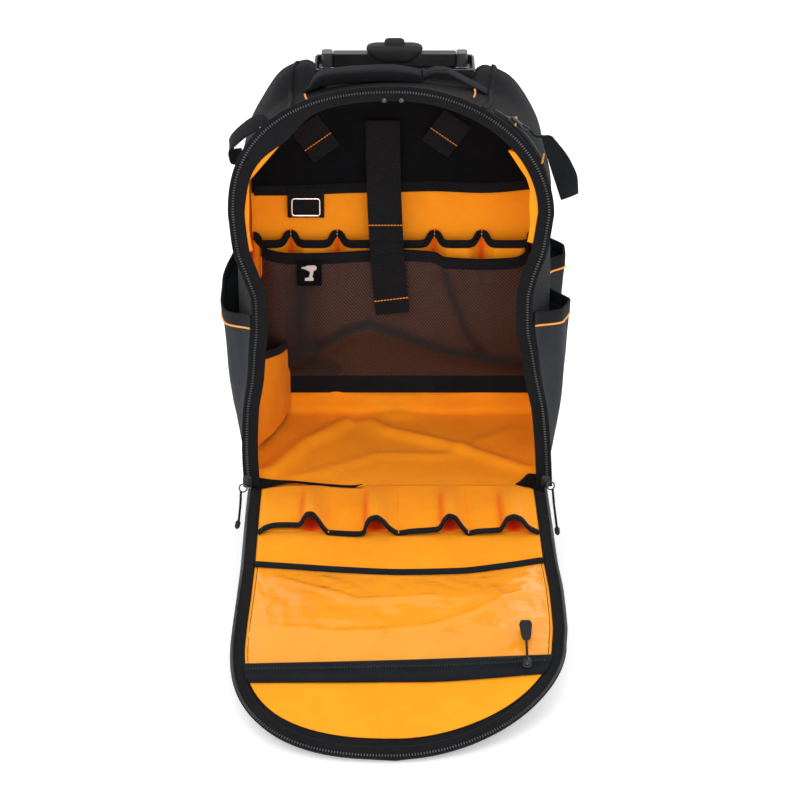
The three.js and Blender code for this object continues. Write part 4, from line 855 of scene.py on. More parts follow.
def flap_lengths(start, tip, count=70):
    """Lengths that close up towards the tip, where the panel narrows quickly."""
    end = OPENING_LENGTH - tip
    turn = FLAP_CROWN * OPENING_LENGTH
    crown_part = turn + (end - turn) * np.sin(np.linspace(0, np.pi / 2, count // 2)[1:])
    crown_part[-1] -= 0.05
    return np.concatenate([np.linspace(start, turn, count - count // 2), crown_part])


def panel_soft(x, s):
    """The panel's outer cloth lies flat, a little under its own edge."""
    return -0.4 + 0.0 * x * s


surface("front_panel", flap_grid(flap_lengths(0, 0), 1.0, 1.0, panel_soft), black_cloth, facing=(0, 0, 1),
        thick=4.6,
        replaces=["flap_panel"])


def lining_soft(x, s):
    """The panel's lining lies nearly flat, with a little slack."""
    return 1.4 + 0.5 * ripple(np.stack([x, s + 0 * x, 0 * x], axis=-1), 80, 21)


surface("panel_lining", flap_grid(flap_lengths(1, 23), 13, 23, lining_soft, 120), orange_cloth,
        facing=(0, 0, 1),
        thick=1.0, replaces=["flap_lining"])

# %% The panel's zip and the pocket under it
flap_s = np.concatenate([np.linspace(6, FLAP_CROWN * OPENING_LENGTH, 160), flap_lengths(0, 0, 240)[121:]])
flap_edge_left = flap_point(-flap_half(-1.0, flap_s), flap_s)
flap_edge_right = flap_point(flap_half(1.0, flap_s), flap_s)
flap_edge = np.concatenate([flap_edge_left, flap_edge_right[::-1]])
flap_edge_up = np.concatenate([flap_normal(flap_s), flap_normal(flap_s)[::-1]])
gone = np.concatenate([[0], np.cumsum(np.linalg.norm(np.diff(flap_edge, axis=0), axis=1))])
places = np.linspace(0, gone[-1], 540)
flap_edge_up = unit(np.stack([np.interp(places, gone, flap_edge_up[:, k]) for k in range(3)], axis=1))
flap_edge = np.stack([np.interp(places, gone, flap_edge[:, k]) for k in range(3)], axis=1)
round_tip = np.hanning(25) / np.hanning(25).sum()
eased = np.pad(flap_edge, ((12, 12), (0, 0)), mode="edge")
eased = np.stack([np.convolve(eased[:, k], round_tip, mode="valid") for k in range(3)], axis=1)
flap_edge = flap_edge + (eased - flap_edge) * np.exp(-(((np.arange(540) - 269.5) / 30.0) ** 2))[:, None]
flap_tape = tape(np.full(540, 12.5), 2.0, 0.4, TAPE_FACE)
_, across, _ = frames(flap_edge, flap_edge_up)
flap_tape[..., 0] *= 1.0 if across[270] @ np.array([0, -1.0, 0]) > 0 else -1.0
surface("panel_tape", sweep(flap_edge, flap_edge_up, flap_tape), zip_tape, wrap=True, closed=True,
        replaces=["flap_zip"])
_, flap_axes = along(flap_edge, flap_edge_up, TOOTH_PITCH)
flap_teeth = even(flap_edge + flap_edge_up * (TAPE_FACE + 1.0), len(flap_axes))
repeated("panel_teeth", tooth_shape, tooth_faces, flap_teeth, flap_axes, zip_teeth)


def front_pocket_grid(skin):
    """The pocket on the panel's outer face: it hangs under the panel and rests near the floor."""
    u, v = np.linspace(0, 1, 60)[None], np.linspace(0, 1, 60)[:, None]
    length = 26 + (400 - 26) * v
    left, right = -flap_half(-1.0, length, 7), flap_half(1.0, length, 7)
    under = HINGE_HEIGHT - np.interp(length, flap_steps, gone_down) - 5
    room = np.clip(under - 4.4, 0, 34)
    deep = room * plateau(u, 0.14) * plateau(v, 0.12) * (1 + 0.04 * ripple(np.stack(
        np.broadcast_arrays(u * 300, v * 370, 0 * u), axis=-1), 90, 31))
    return flap_point(left + (right - left) * u, length, -5.4 - deep - skin)


surface("front_pocket_cloth", front_pocket_grid(0.0), grey_cloth, facing=(0, 0, -1), thick=1.8,
        replaces=["front_pocket"])
print("panel, zip and front pocket")

# %% [markdown]
# ## Lining at the edge, and painted shadow at the hinge
# Beside the zip a strip of the lining shows, where it leaves the tape and runs back into the bag. Its inner
# edge is a straight pull across the crown and then follows the side, and turns back to the wall as a pleat.
# At the hinge a thin black sheet is painted shadow in the fold: a slim wedge on the left and a small
# triangle on the right.

# %% Strips of lining beside the zip
# side, how far it is tucked under the tape, its least width in sight, heights, distance from the middle
EDGE_STRIPS = {
    "left": (-1.0, 9.0, 2.0, [404, 343, 308, 266], [102.0, 156.0, 156.0, 158.0]),
    "right": (1.0, 8.0, 5.0, [376, 340, 316, 276], [118.0, 142.0, 141.0, 143.5]),
}
for key, (sign, tucked, least, ups, inner_x) in EDGE_STRIPS.items():
    along_up = np.linspace(ups[0], ups[-1], 70)
    far = opening_half(sign, along_up / OPENING_LENGTH) - tucked
    seen = opening_half(sign, along_up / OPENING_LENGTH) - 12 - least * smooth((ups[0] - along_up) / 24)
    near = np.minimum(np.minimum(np.interp(along_up, ups[::-1], inner_x[::-1]), far), seen)
    out, back = np.minimum(np.linspace(0, 2, 20), 1)[None], np.maximum(np.linspace(-1, 1, 20), 0)[None]
    across_x = far[:, None] + (near - far)[:, None] * out + (far - near)[:, None] * back
    fall = -1.0 - 9.0 * out - 16.0 * back + 0.8 * np.sin(along_up / 9.0)[:, None] * out * (1 - back)
    strip_grid = front_point(sign * across_x, along_up[:, None] + 0 * out, fall[..., None])
    surface(f"lining_edge_{key}", strip_grid, orange_cloth, facing=(0, -1, 0.4), thick=0.8)

# %% Painted shadow at the hinge
HINGE_SHADOWS = {
    "left": [(-153, -2, -33), (-133, -8, -22), (-116, -10, -16), (-72, -19, -27), (-50, -22, -29),
             (-37, -20, -20.5)],
    "right": [(130, -19, -20), (137, -8, -22), (146, 8, -26), (155, 6, -34), (161, 0, -38)],
}
# Each sheet is painted shadow: black cloth laid over the fold at the hinge, where it lies in shade.
for key, rows in HINGE_SHADOWS.items():
    x, rear, front = np.array(rows, float).T
    at = np.linspace(x[0], x[-1], 50)
    rear_y, front_y = through(x, rear)(at), through(x, front)(at)
    v = np.linspace(0, 1, 6)[:, None]
    fold = np.stack(np.broadcast_arrays(at[None], rear_y + (front_y - rear_y) * v,
                                        93.0 + 0.8 * np.sin(np.pi * v)), -1)
    surface(f"hinge_shadow_{key}", fold, black_inner, facing=(0, 0, 1), thick=0.8)
print("edge strips and hinge folds")

# %% [markdown]
# ## Tool pockets on the panel
# One strip of lining is sewn down along five seams, with more cloth than it spans. The spare cloth stands
# up as an arch in each pocket, steep on one side and gentle on the other. A table of heights across the
# strip gives that outline, and it grows from the hinge to the mouth.

# %% Strip of tool pockets
PANEL_FACE = 2.0
POCKET_END = 96.0
arch_places = [0, 0.025, 0.08, 0.14, 0.152, 0.162, 0.175, 0.19, 0.21, 0.232, 0.25,
               0.30, 0.36, 0.377, 0.386, 0.40, 0.42, 0.445, 0.468, 0.50,
               0.54, 0.64, 0.652, 0.663, 0.68, 0.70, 0.725, 0.75,
               0.78, 0.862, 0.874, 0.888, 0.91, 0.935, 0.965, 1.0]
arch_heights = [0, 4, 6, 6.5, 9, 15, 20.5, 21, 15, 5, 0,
                0.5, 1, 3, 13, 19, 20.5, 15, 6, 0,
                2, 5, 9, 16, 21, 19, 8, 0,
                2, 4, 10, 17.5, 20, 17, 6, 0]
pocket_arch = through(arch_places, arch_heights)
strip_start = through([0, 0.08, 0.18, 0.30, 0.36, 0.40, 0.92, 1], [9, 2, 0.5, 6, 7, -1, -1, 9])
mouth_end = through([0, 0.06, 0.2, 0.25, 0.36, 0.5, 0.75, 1], [104, 98, 101, 104, 108, 105, 105, 104])


def pocket_strip(u, v, skin=0.0):
    """A point of the strip: u across the panel, v from the hinge to the mouth. The arch grows as v^0.8."""
    length = strip_start(u) + (mouth_end(u) - strip_start(u)) * v
    left, right = -flap_half(-1.0, length, 14), flap_half(1.0, length, 14)
    slack = 0.7 * ripple(np.stack(np.broadcast_arrays(u * 280, v * 90, 0 * u), axis=-1), 45, 41)
    high = pocket_arch(u) * np.power(v, 0.8) + (1.3 + slack) * plateau(v, 0.4)
    return flap_point(left + (right - left) * u, length, PANEL_FACE + high + skin)


strip_u, strip_v = np.linspace(0, 1, 260)[None], np.linspace(0, 1, 34)[:, None]
# Painted shade: a dark band down the steep side of each arch, fading in from the hinge.
steep_sides = np.array([0.152, 0.380, 0.654, 0.868])
steep_shade = 0.5 * np.exp(-(((strip_u[..., None] - steep_sides) / 0.011) ** 2)).sum(-1) * smooth(strip_v * 2)
surface("panel_pockets", pocket_strip(strip_u, strip_v, 1.4), orange_cloth, facing=(0, 0, 1), thick=1.1,
        shade=steep_shade,
        replaces=["flap_tool_pockets"])
# A sheet of lining just under the pocket strip carries painted shade: deep red inside each pocket below its
# arch, growing towards the mouth.
shade_sheet_length = np.linspace(12, POCKET_END + 1, 14)[:, None]
shade_sheet_u = np.linspace(0.03, 0.97, 140)[None]
shade_sheet_left, shade_sheet_right = -flap_half(-1.0, shade_sheet_length, 14), flap_half(1.0, shade_sheet_length, 14)
crests = np.array([0.186, 0.419, 0.681, 0.914])
painted_pocket_shade = np.exp(-(((shade_sheet_u[..., None] - crests) / 0.040) ** 2)).sum(-1) * smooth((shade_sheet_length - 40) / 30)
surface("panel_pocket_shade_sheet", flap_point(shade_sheet_left + (shade_sheet_right - shade_sheet_left) * shade_sheet_u, shade_sheet_length, 2.15),
        orange_cloth,
        facing=(0, 0, 1), thick=0.3, shade=painted_pocket_shade)

# %% Binding and seams of the tool pockets
TOWARDS_TIP = np.array([0, -0.993, -0.118])


def mouth_binding(name, path, width, finish=None, proud=1.9, sunk=1.4, along_panel=TOWARDS_TIP, **rest):
    """A folded tape over a cloth edge. Its flat side follows the cloth, so its up is the edge's own
    normal."""
    tangent = unit(np.gradient(path, axis=0))
    up = unit(np.cross(np.broadcast_to(along_panel, path.shape), tangent))
    profile = strip_profile(-width + 1.2, 1.2, -sunk, proud, corner=0.8)
    strip(name, path, up, profile, finish or binding, **rest)


mouth = even(pocket_strip(np.linspace(0, 1, 500), np.ones(500), 0.8), 300)
mouth_binding("panel_pocket_binding", mouth, 7.0)
seam_lines = []
for place in (0.25, 0.5, 0.75):
    run = pocket_strip(np.full(40, place), np.linspace(0.04, 0.93, 40), 1.5)
    seam_lines.append((run, (0, 0, 1)))
stitches("panel_pocket_seams", seam_lines, orange_cloth, pitch=3.6, length=2.7, thick=0.7, lift=0.0)
tack_lines = [(pocket_strip(np.full(6, place), np.linspace(0.93, 1.0, 6), 3.4), (0, 0, 1))
              for place in (0.25, 0.5, 0.75)]
stitches("panel_pocket_tacks", tack_lines, thread, pitch=2.4, length=2.6, thick=1.3, lift=0.2)
print("tool pockets on the panel")

# %% [markdown]
# ## Clear pocket and its zip
# The window is thin clear vinyl with bound edges, and it opens at a zip whose tape is ribbed. Rays that
# light the lining behind pass the film unchanged, so the orange stays bright, and only the view and
# reflections meet it.

# %% Clear pocket
window_top = through([0, 0.12, 0.3, 0.5, 0.7, 0.88, 1], [166, 170, 176, 180, 178, 168, 159])
WINDOW_END = 324


def panel_x(u, length, border=15.5):
    """The x at a share across the panel inside a border."""
    left, right = -flap_half(-1.0, length, border), flap_half(1.0, length, border)
    return left + (right - left) * u


def window_face(u, v):
    """The film: it rises to a plateau between its bound edges, with soft folds and two long diagonal ones."""
    length = window_top(u) + (WINDOW_END - window_top(u)) * v
    x = panel_x(u, length)
    flat = np.stack(np.broadcast_arrays(x, length, 0 * x), axis=-1)
    lift = 5 * plateau(u, 0.22) * plateau(v, 0.35)
    edge = plateau(u, 0.06) * plateau(v, 0.12)
    wrinkle = 1.1 * ripple(flat, 70, 51) + 0.5 * ripple(flat, 26, 52)
    folds = sum(size * near_line(flat[..., :2], line, 5) for size, line in (
        (1.9, [(-120, 190), (-40, 232), (40, 226)]), (1.6, [(-20, 290), (60, 262), (128, 214)]),
        (1.4, [(-130, 268), (-60, 282), (10, 276)]), (1.2, [(90, 190), (120, 250)])))
    return flap_point(x, length, PANEL_FACE + 0.6 + lift + edge * (1.2 + wrinkle + folds))


film = surface("clear_window", window_face(np.linspace(0, 1, 150)[None], np.linspace(0, 1, 80)[:, None]),
               vinyl,
               facing=(0, 0, 1), thick=0.5, replaces=["window_pocket"])
film.visible_shadow = False
film.visible_diffuse = False
top_u = np.linspace(-0.008, 1.008, 120)
top_path = flap_point(panel_x(top_u, window_top(top_u)), window_top(top_u), PANEL_FACE + 1.0)
mouth_binding("window_top_binding", top_path, 10.0, proud=1.2, sunk=0.8)

# %% Ribbed zip of the clear pocket
band_u, band_v = np.linspace(-0.01, 1.01, 90)[None], np.linspace(0, 1, 12)[:, None]
band_top, band_low = through([0, 0.5, 1], [322, 317, 309]), through([0, 0.6, 1], [345, 344, 333])
band_length = band_top(band_u) + (band_low(band_u) - band_top(band_u)) * band_v
band_rise = 1.8 + 1.3 * smooth(1 - np.abs(band_v - 0.42) / 0.16) + 0.5 * np.sin(band_u * 19) * plateau(band_v,
                                                                                                       0.3)
surface("window_zip_tape", flap_point(panel_x(band_u, band_length, 14), band_length, PANEL_FACE + band_rise),
        webbing, facing=(0, 0, 1), thick=1.2, replaces=["flap_zip_band"])
zip_u = np.linspace(0.01, 0.99, 120)
zip_length = band_top(zip_u) + 0.42 * (band_low(zip_u) - band_top(zip_u))
zip_path = flap_point(panel_x(zip_u, zip_length, 14), zip_length, PANEL_FACE + 3.3)
zip_places, zip_axes = along(zip_path, (0, -0.25, 0.97), TOOTH_PITCH)
repeated("window_zip_teeth", tooth_shape, tooth_faces, zip_places, zip_axes, black_plastic)
low_u = np.linspace(-0.008, 1.008, 120)
low_path = flap_point(panel_x(low_u, band_low(low_u) + 2, 14), band_low(low_u) + 2, PANEL_FACE + 1.0)
mouth_binding("window_low_binding", low_path, 7.0, proud=1.3, sunk=0.8)
print("clear pocket and its zip")


# %% Slider and ribbed pull of the clear pocket
def plate(name, outline, centre, axes, thick, finish, rounding=0.8, **rest):
    """A flat moulded piece: an outline in its own plane, given thickness, with its rim rounded."""
    outline = np.asarray(outline, float)
    middle = outline.mean(0)
    rows = [(0.0, 0.0), (1 - rounding / 6, 0.0), (1.0, 0.25), (1.0, 0.75), (1 - rounding / 6, 1.0),
            (0.0, 1.0)]
    grid = np.stack([np.concatenate([middle + (outline - middle) * share,
                                     np.full((len(outline), 1), level * thick)], axis=1) for share,
                                     level in rows])
    return surface(name, np.asarray(centre, float) + grid @ np.asarray(axes, float), finish, wrap=True,
                   closed=True,
                   **rest)


def oval(length, width, corner, cuts=5):
    """A rounded rectangle's outline."""
    return strip_profile(-length / 2, length / 2, -width / 2, width / 2, corner=corner, cuts=cuts)


def panel_axes(length):
    """Across, towards the tip and out of the panel, at a length along it."""
    out = flap_normal(np.array(length))
    return np.array([[1.0, 0, 0], np.cross(out, [1.0, 0, 0]) * -1, out])


slider_axes = panel_axes(323.0)
slider_at = flap_point(131.0, 324.0, PANEL_FACE + 3.6)
plate("window_slider", oval(9, 14, 3), slider_at, slider_axes, 2.2, black_plastic,
      replaces=["flap_zip_slider"])
plate("window_slider_bridge", oval(4, 11, 1.8), slider_at + 2.2 * slider_axes[2], slider_axes, 2.4, gunmetal)
pull_run = np.array([flap_point(131.0, s, PANEL_FACE + h) for s, h in
                     ((321, 9.6), (316, 10.4), (308, 10.2), (300, 10.0), (293, 10.0))])
strip("window_pull_cord", curve(pull_run, 24), (0, 0, 1), ring_profile(1.3, 8), rubber)
grip_places = np.linspace(296, 269, 40)
grip_line = flap_point(np.full(40, 131.0), grip_places, PANEL_FACE + 10.0)
grip_swell = np.array([0.55, 0.8, 0.95, 1.0])[np.minimum(np.arange(40), 3)]
grip_swell = grip_swell * np.array([0.6, 0.85, 0.97, 1.0])[np.minimum(np.arange(40)[::-1], 3)]
grip_swell = grip_swell * np.linspace(0.85, 1.3, 40)
grip_ribs = 1 + 0.16 * np.sign(np.sin(np.arange(40) * 1.45)) * (np.arange(40) > 6) * (np.arange(40) < 34)
grip_profile = strip_profile(-4.6, 4.6, -2.4, 2.4, corner=2.0, cuts=3)
strip("window_pull_grip", grip_line, (0, 0, 1), grip_profile[None] * (grip_swell * grip_ribs)[:, None, None],
      rubber, replaces=["flap_zip_puller"])
print("slider and pull")

# %% [markdown]
# ## Inside of the back
# Everything here is sewn flat to the back of the bag. A place is given by its distance along the cloth from
# the middle, its height over the hinge, and its stand off the wall. Past the flat part the cloth turns
# through the bag's rounded rear corner, so a panel's ends run on round that corner as real cloth does.

# %% Places on the back wall
LINING_FACE = 179.9
WALL_CORNER = 11.0


def wall_half(sign, height):
    """Half width of the back inside the lining, out to its rounded corner."""
    up = (height + 4 + LINING) / 419.0
    base = BACK_HALF * np.where(sign < 0, 1.03, 1.0) - LINING - 1.5
    return crown(base, up, CROWN_START, 1, 3.2)


def wall_at(x, height, stand=0.0):
    """Flat in the middle, a quarter turn at the corner, then straight forward along the side."""
    x, height, stand = np.broadcast_arrays(*[np.asarray(v, float) for v in (x, height, stand)])
    sign = np.sign(x)
    flat = wall_half(sign, height) - WALL_CORNER
    turn = np.clip((np.abs(x) - flat) / WALL_CORNER, 0, np.pi / 2)
    ahead = np.maximum(np.abs(x) - flat - WALL_CORNER * np.pi / 2, 0)
    across = np.minimum(np.abs(x), flat) + (WALL_CORNER - stand) * np.sin(turn)
    forward = WALL_CORNER * (1 - np.cos(turn)) + ahead + stand * np.cos(turn)
    return np.stack([sign * across, LINING_FACE - forward, HINGE_HEIGHT + height], axis=-1)


def wall_grid(low, high, stand, past=5.0, columns=90, rows=20):
    """A cloth across the back between two heights. low, high and stand may be functions of x."""
    u, v = np.linspace(0, 1, columns)[None], np.linspace(0, 1, rows)[:, None]
    guess = -160 + 320 * u
    bottom = low(guess) if callable(low) else low
    top = high(guess) if callable(high) else high
    height = bottom + (top - bottom) * v
    left, right = -wall_half(-1.0, height) - past, wall_half(1.0, height) + past
    x = left + (right - left) * u
    return wall_at(x, height, stand(x, height, v) if callable(stand) else stand)


def soft_stand(base, size, seed, scale=90.0):
    """A stand with soft ripples, for wall_grid."""
    return lambda x, h, v: base + size * ripple(np.stack(np.broadcast_arrays(x, h, 0 * x), axis=-1), scale,
                                                seed)


band_foot = through([-168, -150, -125, -42, 0, 40, 95, 150, 165],
                    [270, 267, 267, 270, 271, 272, 270, 275, 278])
surface("upper_panel", wall_grid(lambda x: band_foot(x) + 3, 389, soft_stand(4.6, 0.9, 61), rows=40),
        black_inner,
        facing=(0, -1, 0), thick=1.5, replaces=["upper_wall_panel"])
surface("upper_band", wall_grid(band_foot, lambda x: band_foot(x) + 12, 6.4, rows=6), binding,
        facing=(0, -1, 0),
        thick=1.4, replaces=["wall_band"])
surface("organizer_cloth", wall_grid(150, lambda x: band_foot(x) + 5, soft_stand(2.6, 0.8, 62, 70.0),
                                     rows=30), orange_cloth,
        facing=(0, -1, 0), thick=0.8, replaces=["organizer_panel"])

# %% [markdown]
# ## Small pockets on the back
# Three pockets to each side of the strap share one strip. Between seams the cloth stands off the wall; at a
# seam it dips back to it and the binding rises in a small hump.

# %% Small pockets
SEAM_PLACES = {"left": [-171.0, -118.4, -66.3, -17.0], "right": [-13.0, 42.6, 95.6, 156.0]}


def small_pocket(x, v, seams):
    """A point of a strip of pockets: how near the closest seam is gives both its height and its stand."""
    gap = np.abs(x[..., None] - np.asarray(seams)).min(-1)
    hump = np.exp(-((gap / 7.0) ** 4))
    height = 158 + (217.0 + 8.5 * hump - 158) * v
    out = 3.2 + 12.5 * np.power(smooth(gap / 17.0), 0.85) * smooth(v * 3)
    return wall_at(x, height, out)


for key, seams in SEAM_PLACES.items():
    x = np.linspace(seams[0], seams[-1], 170)
    # Painted shade: a dark channel down each seam, where the cloth dips back to the wall.
    beside = np.abs(x[:, None] - np.asarray(seams)).min(-1)
    surface(f"small_pockets_{key}", small_pocket(x[None], np.linspace(0, 1, 26)[:, None] + 0 * x, seams),
            orange_cloth, shade=0.8 * np.exp(-((beside / 4.0) ** 2))[None], facing=(0, -1, 0), thick=1.1,
            replaces=[f"wall_pockets_{key}"])
    rim = even(small_pocket(x, np.full(170, 0.93), seams), 170)
    across = unit(np.gradient(rim, axis=0))
    rim_up = unit(np.cross(across, [0, 0, 1.0]))
    strip(f"small_pocket_binding_{key}", rim, rim_up, strip_profile(-4.6, 4.8, -1.3, 1.5, corner=0.8),
          binding)
    tacks = [(small_pocket(np.full(6, place), np.linspace(0.87, 1.0, 6), seams) + [0, -2.2, 0], (0, -1, 0))
             for place in seams[1:3]]
    stitches(f"small_pocket_tacks_{key}", tacks, thread, pitch=2.6, length=2.9, thick=1.2, lift=0.2)
print("small pockets")

# %% [markdown]
# ## Mesh pocket
# A knitted mesh hangs across the back with a bound top edge that has some slack, and three soft creases
# that run from its corners. The holes are in the material, as a real net is far finer than a mesh could
# carry.

# %% Mesh pocket
mesh_edge = through([-168, -153, -138, -110, -64, -33, 6, 44, 55, 95, 131, 152, 165],
                    [214, 213, 209, 205, 206, 208, 209, 207, 201, 198, 200, 210, 215])
MESH_FOOT = 45.0


def mesh_stand(x, height, v):
    """Stands off the wall, sewn down at its ends and foot, with slack folds and the long creases."""
    u = (x + 165) / 330
    rise = 3.0 + 21 * np.power(plateau(np.clip(u, 0, 1), 0.09), 0.6) * np.power(smooth(v * 2), 0.8)
    flat = np.stack(np.broadcast_arrays(x, height), axis=-1)
    depth3 = np.stack(np.broadcast_arrays(x, 0.45 * height, 0 * x), axis=-1)
    creases_at = ((4.5, [(-122, 62), (-52, 105), (-26, 112), (6, 98), (60, 76), (136, 60)]),
                  (3.5, [(50, 196), (66, 142), (84, 92)]), (-3.0, [(-98, 160), (-92, 90)]),
                  (-2.5, [(-10, 160), (30, 120)]))
    relief = sum(size * near_line(flat, line, 9) for size, line in creases_at)
    soft = 1.3 * ripple(depth3, 60, 71) + 0.6 * ripple(depth3, 24, 72)
    return rise + plateau(np.clip(u, 0, 1), 0.1) * plateau(v, 0.12) * (relief + soft)


mesh_grid = wall_grid(MESH_FOOT, mesh_edge, mesh_stand, past=3.0, columns=150, rows=80)
mesh_x = np.linspace(-165, 165, 150)[None]
mesh_height = MESH_FOOT + (mesh_edge(mesh_x) - MESH_FOOT) * np.linspace(0, 1, 80)[:, None]
mesh_flat = np.stack([mesh_x + 0 * mesh_height, mesh_height], axis=-1)
# Painted shade on the net: dark along its creases and slack folds, and darker towards both ends.
mesh_shade = sum(size * near_line(mesh_flat, line, width) for size, width, line in (
    (0.75, 7, [(-126, 66), (-53, 112), (-28, 121), (4, 107), (61, 83), (146, 64)]),
    (0.6, 5, [(46, 206), (56, 184), (67, 149), (84, 104), (104, 76)]),
    (0.6, 13, [(-104, 172), (-108, 120), (-102, 80)]), (0.5, 12, [(-150, 60), (-70, 56), (-140, 90)])))
mesh_shade = np.clip(1.35 * mesh_shade + 0.25 * smooth(np.abs(mesh_x) / 150 - 0.1), 0, 1)
mesh_piece = surface("mesh_cloth", mesh_grid, net_cloth, facing=(0, -1, 0), shade=mesh_shade,
                     replaces=["mesh_pocket"])
edge_grid = wall_grid(lambda x: mesh_edge(x) - 13, mesh_edge, lambda x, h, v: mesh_stand(x, h, 0.93) + 1.2,
                      past=3.0, columns=120, rows=6)
surface("mesh_top_binding", edge_grid, binding, facing=(0, -1, 0), thick=1.8, replaces=["mesh_binding"])
surface("mesh_foot_band", wall_grid(26, 47, soft_stand(3.6, 0.5, 73), rows=8), binding, facing=(0, -1, 0),
        thick=1.6, replaces=["lower_band"])
print("mesh pocket")

# %% Tool sign on the mesh
drill_outline = [(-9.4, 6.2), (-9.4, 7.6), (-4.6, 8.6), (-2, 10), (6.5, 10.2), (8.6, 9.2), (9.4, 7),
                 (8.8, 4.6),
                 (6.6, 3.4), (5.4, 3), (5, -0.5), (3.6, -5.4), (5.2, -6.2), (5.2, -10), (-5.4, -10),
                 (-5.4, -6.8),
                 (-2.2, -6.2), (-0.4, -5.4), (1, -1), (0.6, 2.6), (-2, 3.4), (-4.6, 5.2)]
sign_at = wall_at(-97.5, 183.0, 30.0)
sign_points = np.array([(-a * 0.9, 1.6, b * 0.9 + 1) for a, b in drill_outline[::-1]]) * [-1, -1, 1] + sign_at
sign_mesh = mesh_of("tool_sign", sign_points, np.arange(len(drill_outline))[None], flat=True)
finish_piece("tool_sign", sign_mesh, pale, thick=1.0, replaces=["badge"])
plate("tool_sign_patch", oval(28, 30, 2), sign_at + np.array([0, 1.2, 0]), [[1, 0, 0], [0, 0, 1], [0, -1, 0]],
      1.0,
      black_inner, rounding=0.3)

# %% [markdown]
# ## Centre strap, tabs and tape clip
# A 38 mm webbing hangs from the upper panel over all the pockets. It is two lengths joined by a fold. Each
# slanted tab is a short end of the same webbing, held by one row of orange stitches.

# %% Centre strap
STRAP_CENTRE = -15.0


def strap_run(high, low, lift, count=60):
    """The strap's course between two heights: close to the panel at its top, over the pockets below."""
    height = np.linspace(high, low, count)
    down = np.clip((354 - height) / (354 - 206), 0, 1)
    stand = 6.0 + (32.0 - 6.0) * smooth(down * 1.15) + lift
    drift = 11 * ((354 - height) / 220) ** 2
    return wall_at(STRAP_CENTRE + drift, height, stand)


def strap_piece(name, run, width, thick=1.8, finish=None, **rest):
    """Flat webbing along a run, its width held level."""
    tangent = unit(np.gradient(run, axis=0))
    ups = unit(np.cross(tangent, [1.0, 0, 0]))
    ups = ups * np.where((ups @ np.array([0, -1.0, 0.3])) < 0, -1, 1)[:, None]
    return strip(name, run, ups, strip_profile(-width / 2, width / 2, 0, thick, corner=0.6),
                 finish or webbing, **rest)


strap_piece("centre_strap_upper", strap_run(356, 222, 2.2), 38)
strap_piece("centre_strap_lower", strap_run(240, 136, 0.0), 38, replaces=["centre_strap"])
strap_piece("centre_strap_fold", strap_run(222, 210, 2.4, 12), 36, thick=2.6)
strap_rows = []
for height, slant, lift in ((242.5, 0.0, 4.4), (153.5, 2.2, 2.2)):
    x = np.linspace(-17.5, 17.5, 12)
    middle = strap_run(height + 1, height - 1, lift, 3)[1]
    strap_rows.append((middle + np.stack([x, 0 * x, x / 17.5 * slant], axis=1), (0, -1, 0.2)))
stitches("centre_strap_stitches", strap_rows, thread, pitch=3.0, length=2.9, thick=1.3, lift=0.3)

# %% Slanted tabs
for key, sign, centre in (("left", -1.0, (-86.8, 331.2)), ("right", 1.0, (52.4, 336.9))):
    lean_to = np.array([sign * 0.585, 0.811])
    run = np.array(centre) + np.linspace(-17, 26, 20)[:, None] * lean_to
    tab = wall_at(run[:, 0], run[:, 1], 6.2 + np.linspace(2.2, 0, 20))
    strip(f"slanted_tab_{key}", tab, (0, -1, 0), strip_profile(-18, 18, 0, 1.9, corner=0.6), webbing,
          replaces=[f"webbing_tab_{key}"])
    side = np.array([lean_to[1], -lean_to[0]])
    row = np.array(centre) + np.linspace(-16.5, 16.5, 12)[:, None] * side
    stitches(f"slanted_tab_stitches_{key}", [(wall_at(row[:, 0], row[:, 1], 9.4), (0, -1, 0))], thread,
             pitch=3.0, length=2.9, thick=1.2, lift=0.3)

# %% Tape clip
clip_run = wall_at(np.full(24, -101.0), np.linspace(276, 241.5, 24),
                   5.0 + 2.2 * np.sin(np.linspace(0, 3.0, 24)))
strip("clip_tab", clip_run, (0, -1, 0), strip_profile(-20.5, 20.5, 0, 2.2, corner=0.8), webbing,
      replaces=["tape_clip_tab"])
clip_ring = oval(31, 19, 2.6, cuts=5)
clip_path = wall_at(-101.0 + clip_ring[:, 0], 254.5 + clip_ring[:, 1], 9.6 - 1.2 * clip_ring[:, 1] / 10.5)
strip("clip_wire", even(clip_path, 72, loop=True), (0, -1, 0), ring_profile(1.15, 10), bright, loop=True,
      replaces=["tape_clip_frame"])
bar_run = wall_at(np.linspace(-116.5, -85.5, 8), np.full(8, 244.4), np.full(8, 9.8))
strip("clip_bar", bar_run, (0, -1, 0), strip_profile(-1.6, 1.6, -0.6, 0.9, corner=0.5), bright)
print("strap, tabs and clip")

# %% [markdown]
# ## Pocket inside the left wall
# A tall pocket of lining crosses the rear left corner, from the side wall to the back, with a slanted bound
# mouth.


# %% Inner side pocket
def inner_pocket(u, v):
    """A sheet across the rear left corner, from the side wall at u = 0 to the back wall at u = 1."""
    height = 5 + (118 - 27 * u - 5) * v
    side, back = bag_at(-1.0, height / 428.0, 0.42, LINING + 1.5), wall_at(-121.0, height, 1.0)
    share = u[..., None] if np.ndim(u) else u
    line = side * (1 - share) + back * share
    belly = (9 * np.sin(np.pi * u) * (0.5 + 0.5 * v) + 1.4 * ripple(line, 50, 81) * plateau(u, 0.2))[...,
                                                                                                     None]
    return line + belly * np.array([0.82, -0.57, 0])


